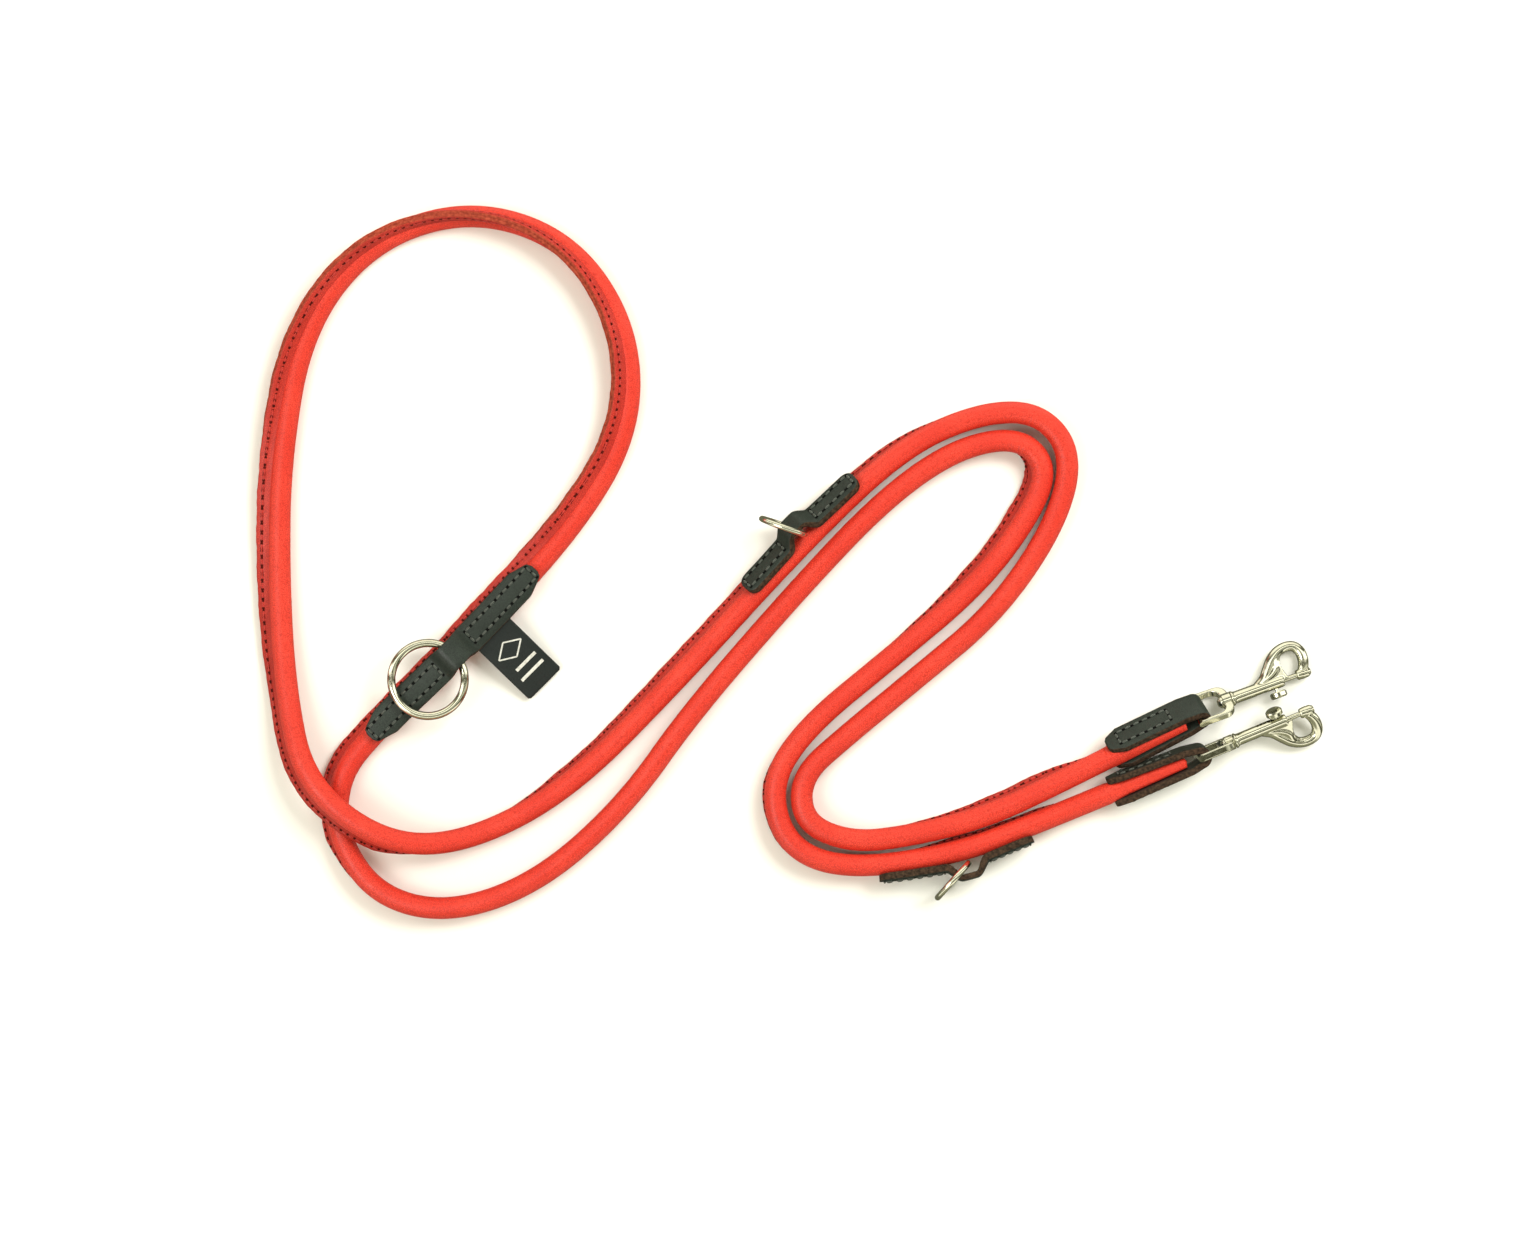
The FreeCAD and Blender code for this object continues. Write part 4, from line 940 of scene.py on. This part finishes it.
def rod(path):
    """Closed rod in the XY plane along (x, y, radius) points, smoothed between them and a little tall."""
    sides, steps, tall = 20, 5, 1.08
    dense = []
    for i in range(len(path) - 1):
        p0, p1 = path[max(i - 1, 0)], path[i]
        p2, p3 = path[i + 1], path[min(i + 2, len(path) - 1)]
        for k in range(steps):
            t = k / steps
            dense.append([0.5 * (2 * b + (c - a) * t + (2 * a - 5 * b + 4 * c - d) * t * t
                                 + (3 * b - a - 3 * c + d) * t ** 3) for a, b, c, d in zip(p0, p1, p2, p3)])
    dense.append(list(path[-1]))
    vertices, faces = [], []
    centres = [Vector((x, y, 0)) for x, y, _ in dense]
    for centre, direction, (_, _, radius) in zip(centres, tangents(centres), dense):
        across = Vector((-direction.y, direction.x, 0))
        for k in range(sides):
            turn = 2 * math.pi * k / sides
            around = across * math.cos(turn) + UP * (tall * math.sin(turn))
            vertices.append(centre + around * radius)
    for row in range(len(dense) - 1):
        for k in range(sides):
            a, b = row * sides + k, row * sides + (k + 1) % sides
            faces.append((a, a + sides, b + sides, b))
    faces.append(tuple(range(sides)))
    faces.append(tuple((len(dense) - 1) * sides + k for k in range(sides - 1, -1, -1)))
    return vertices, faces


def plate(outline, half):
    """Closed flat solid on both sides of the XY plane."""
    count = len(outline)
    vertices = [Vector((x, y, z)) for z in (-half, half) for x, y in outline]
    faces = [(k, k + count, (k + 1) % count + count, (k + 1) % count) for k in range(count)]
    faces.append(tuple(range(count)))
    faces.append(tuple(range(2 * count - 1, count - 1, -1)))
    return vertices, faces


def block(low, high):
    """Closed box between two corners."""
    corners = [Vector((x, y, z)) for z in (low[2], high[2]) for x, y in
               ((low[0], low[1]), (high[0], low[1]), (high[0], high[1]), (low[0], high[1]))]
    return corners, [(3, 2, 1, 0), (4, 5, 6, 7), (0, 1, 5, 4), (1, 2, 6, 5), (2, 3, 7, 6), (3, 0, 4, 7)]


def joined(name, solids):
    """One object holding all the solids, as they are."""
    vertices, faces = [], []
    for points, polygons in solids:
        start = len(vertices)
        vertices += points
        faces += [tuple(start + k for k in polygon) for polygon in polygons]
    mesh = bpy.data.meshes.new(name)
    mesh.from_pydata([tuple(v) for v in vertices], [], faces)
    mesh.update()
    made = bpy.data.objects.new(name, mesh)
    scene.collection.objects.link(made)
    return made


def applied(thing):
    """The object's mesh with its modifiers applied; the object itself is removed."""
    bpy.context.view_layer.update()
    graph = bpy.context.evaluated_depsgraph_get()
    mesh = bpy.data.meshes.new_from_object(thing.evaluated_get(graph))
    bpy.data.objects.remove(thing)
    return mesh


def cast_snap():
    """The snap's body as one smooth casting, bored for the bolt and slotted for its knob. Millimetres."""
    solids = [turned(BARREL), rod(HOOK_ROD), rod(WEB_ROD), plate(HOOK_PLATE, PLATE_HALF), turned(NOSE)]
    raw = joined("casting", solids)
    fuse = raw.modifiers.new("fuse", "REMESH")
    fuse.mode = "VOXEL"
    fuse.voxel_size = VOXEL
    soften = raw.modifiers.new("soften", "SMOOTH")
    soften.factor = 0.6
    soften.iterations = 7
    body = bpy.data.objects.new("casting_body", applied(raw))
    scene.collection.objects.link(body)
    cutters = [
        joined("bore", [turned(BORE)]),
        joined("bolt_hole", [turned(BOLT_HOLE)]),
        joined("slot", [block(*KNOB_SLOT)]),
    ]
    for cutter in cutters:
        cut = body.modifiers.new(cutter.name, "BOOLEAN")
        cut.operation = "DIFFERENCE"
        cut.object = cutter
        cut.solver = "EXACT"
    mesh = applied(body)
    for cutter in cutters:
        bpy.data.objects.remove(cutter)
    return mesh


def snap_frame(side):
    """At the swivel end of the snap: X along the bolt, Y towards the hook."""
    swing, swivel = SNAP_TURN[side]
    turn = tab_frame(side).to_3x3() @ Matrix.Rotation(math.radians(swing), 3, "Y")
    turn = turn @ Matrix.Rotation(math.radians(swivel), 3, "X")
    place = Vector(JOINTS["snap_%s_swivel" % side]["pos_m"])
    return Matrix.Translation(place) @ turn.to_4x4() @ Matrix.Scale(MM, 4)


def make_casting(side):
    """One snap's finished casting, in its place and riding on its snap."""
    mesh = CASTING.copy()
    mesh.transform(snap_frame(side))
    mesh.materials.clear()
    mesh.materials.append(NICKEL)
    for polygon in mesh.polygons:
        polygon.use_smooth = True
    casting = bpy.data.objects.new("snap_casting_" + side, mesh)
    scene.collection.objects.link(casting)
    mesh.set_sharp_from_angle(angle=math.radians(48))
    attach(casting, "snap_" + side)
    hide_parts("snap_body_" + side)


def make_spring(side):
    """The bolt's spring, copied from the model's piece in spring steel and fixed where it stands, at the
    bottom of the snap's bore.
    """
    node_piece = frame["nodes"]["bolt_spring_" + side]
    mesh = node_piece.data.copy()
    mesh.transform(node_piece.matrix_world)
    mesh.materials.clear()
    mesh.materials.append(SPRING)
    spring = bpy.data.objects.new("spring_" + side, mesh)
    scene.collection.objects.link(spring)
    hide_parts("bolt_spring_" + side)
    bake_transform(spring)


CASTING = cast_snap()
for side in "ab":
    make_casting(side)
for side in "ab":
    make_spring(side)


# ---------------------------------------------------------------- metal finishes

for name, piece in frame["nodes"].items():
    if name.startswith(("ring_", "swivel_", "snap_", "thumb_")):
        finish = NICKEL
    else:
        finish = BLACK
    if not piece.material_slots:
        piece.data.materials.append(finish)
    for entry in piece.material_slots:
        entry.material = finish


# ---------------------------------------------------------------- floor, light, finish

FLOOR_HALF = 6
floor_material, _, floor_shader = new_material("floor")
floor_shader.inputs["Base Color"].default_value = (0.93, 0.925, 0.88, 1)
floor_shader.inputs["Roughness"].default_value = 0.9
floor_mesh = bpy.data.meshes.new("floor")
floor_corners = [(x * FLOOR_HALF, y * FLOOR_HALF, 0) for x, y in ((-1, -1), (1, -1), (1, 1), (-1, 1))]
floor_mesh.from_pydata(floor_corners, [], [(0, 1, 2, 3)])
floor_mesh.materials.append(floor_material)
floor = bpy.data.objects.new("floor", floor_mesh)
scene.collection.objects.link(floor)
# Polished metal would otherwise show nothing but the white floor at its sides.
floor.visible_glossy = False


def softbox(name, place, size, power, colour):
    """Rectangular light aimed at the middle of the floor."""
    data = bpy.data.lights.new(name, "AREA")
    data.shape = "RECTANGLE"
    data.size, data.size_y = size
    data.energy = power
    data.color = colour
    lamp = bpy.data.objects.new(name, data)
    lamp.location = place
    lamp.rotation_euler = (-Vector(place)).to_track_quat("-Z", "Y").to_euler()
    scene.collection.objects.link(lamp)
    return lamp


key = softbox("key", (0.75, 0.65, 1.25), (0.9, 0.7), 21.0, (1.0, 0.985, 0.95))
key.visible_glossy = False
softbox("fill", (-0.9, -0.35, 1.35), (0.8, 0.9), 11.0, (1.0, 0.98, 0.93))


def from_one_side(tree, source):
    """A direction's part along an axis, from -1 to 1, as a share from 0 to 1."""
    made = node(tree, "ShaderNodeMath", operation="MULTIPLY_ADD")
    tree.links.new(source, made.inputs[0])
    made.inputs[1].default_value = 0.5
    made.inputs[2].default_value = 0.5
    return made.outputs["Value"]


# Light panels alternate with dark gaps overhead, and all is dark well below the horizon, so that polished
# metal has something to show.
world = bpy.data.worlds.new("studio")
world.use_nodes = True
tree = world.node_tree
direction = node(tree, "ShaderNodeTexCoord")
parts = node(tree, "ShaderNodeSeparateXYZ")
tree.links.new(direction.outputs["Generated"], parts.inputs["Vector"])
GAP, DIM, MIDDLE = (0.05, 0.05, 0.03), (0.30, 0.30, 0.20), (0.80, 0.80, 0.64)
PANEL, BRIGHT_PANEL, LAST_PANEL = (1.3, 1.27, 1.06), (1.9, 1.88, 1.62), (1.3, 1.26, 1.05)
overhead = ramp(tree, from_one_side(tree, parts.outputs["Y"]), [
    (0.0, DIM), (0.10, DIM), (0.15, PANEL), (0.23, PANEL),
    (0.28, GAP), (0.38, (0.07, 0.07, 0.04)), (0.43, (0.50, 0.50, 0.38)), (0.50, MIDDLE),
    (0.55, (0.10, 0.10, 0.06)), (0.60, (0.08, 0.08, 0.05)), (0.63, BRIGHT_PANEL), (0.71, BRIGHT_PANEL),
    (0.75, (0.06, 0.06, 0.04)), (0.84, (0.22, 0.22, 0.15)), (0.88, LAST_PANEL),
])
above = ramp(tree, from_one_side(tree, parts.outputs["Z"]), [(0.30, (0, 0, 0)), (0.42, (1, 1, 1))])
panels = blend_colours(tree, above, (0.16, 0.16, 0.11, 1), overhead)
tree.links.new(panels, tree.nodes["Background"].inputs["Color"])
tree.nodes["Background"].inputs["Strength"].default_value = 1.0
scene.world = world
scene.view_settings.view_transform = "Standard"
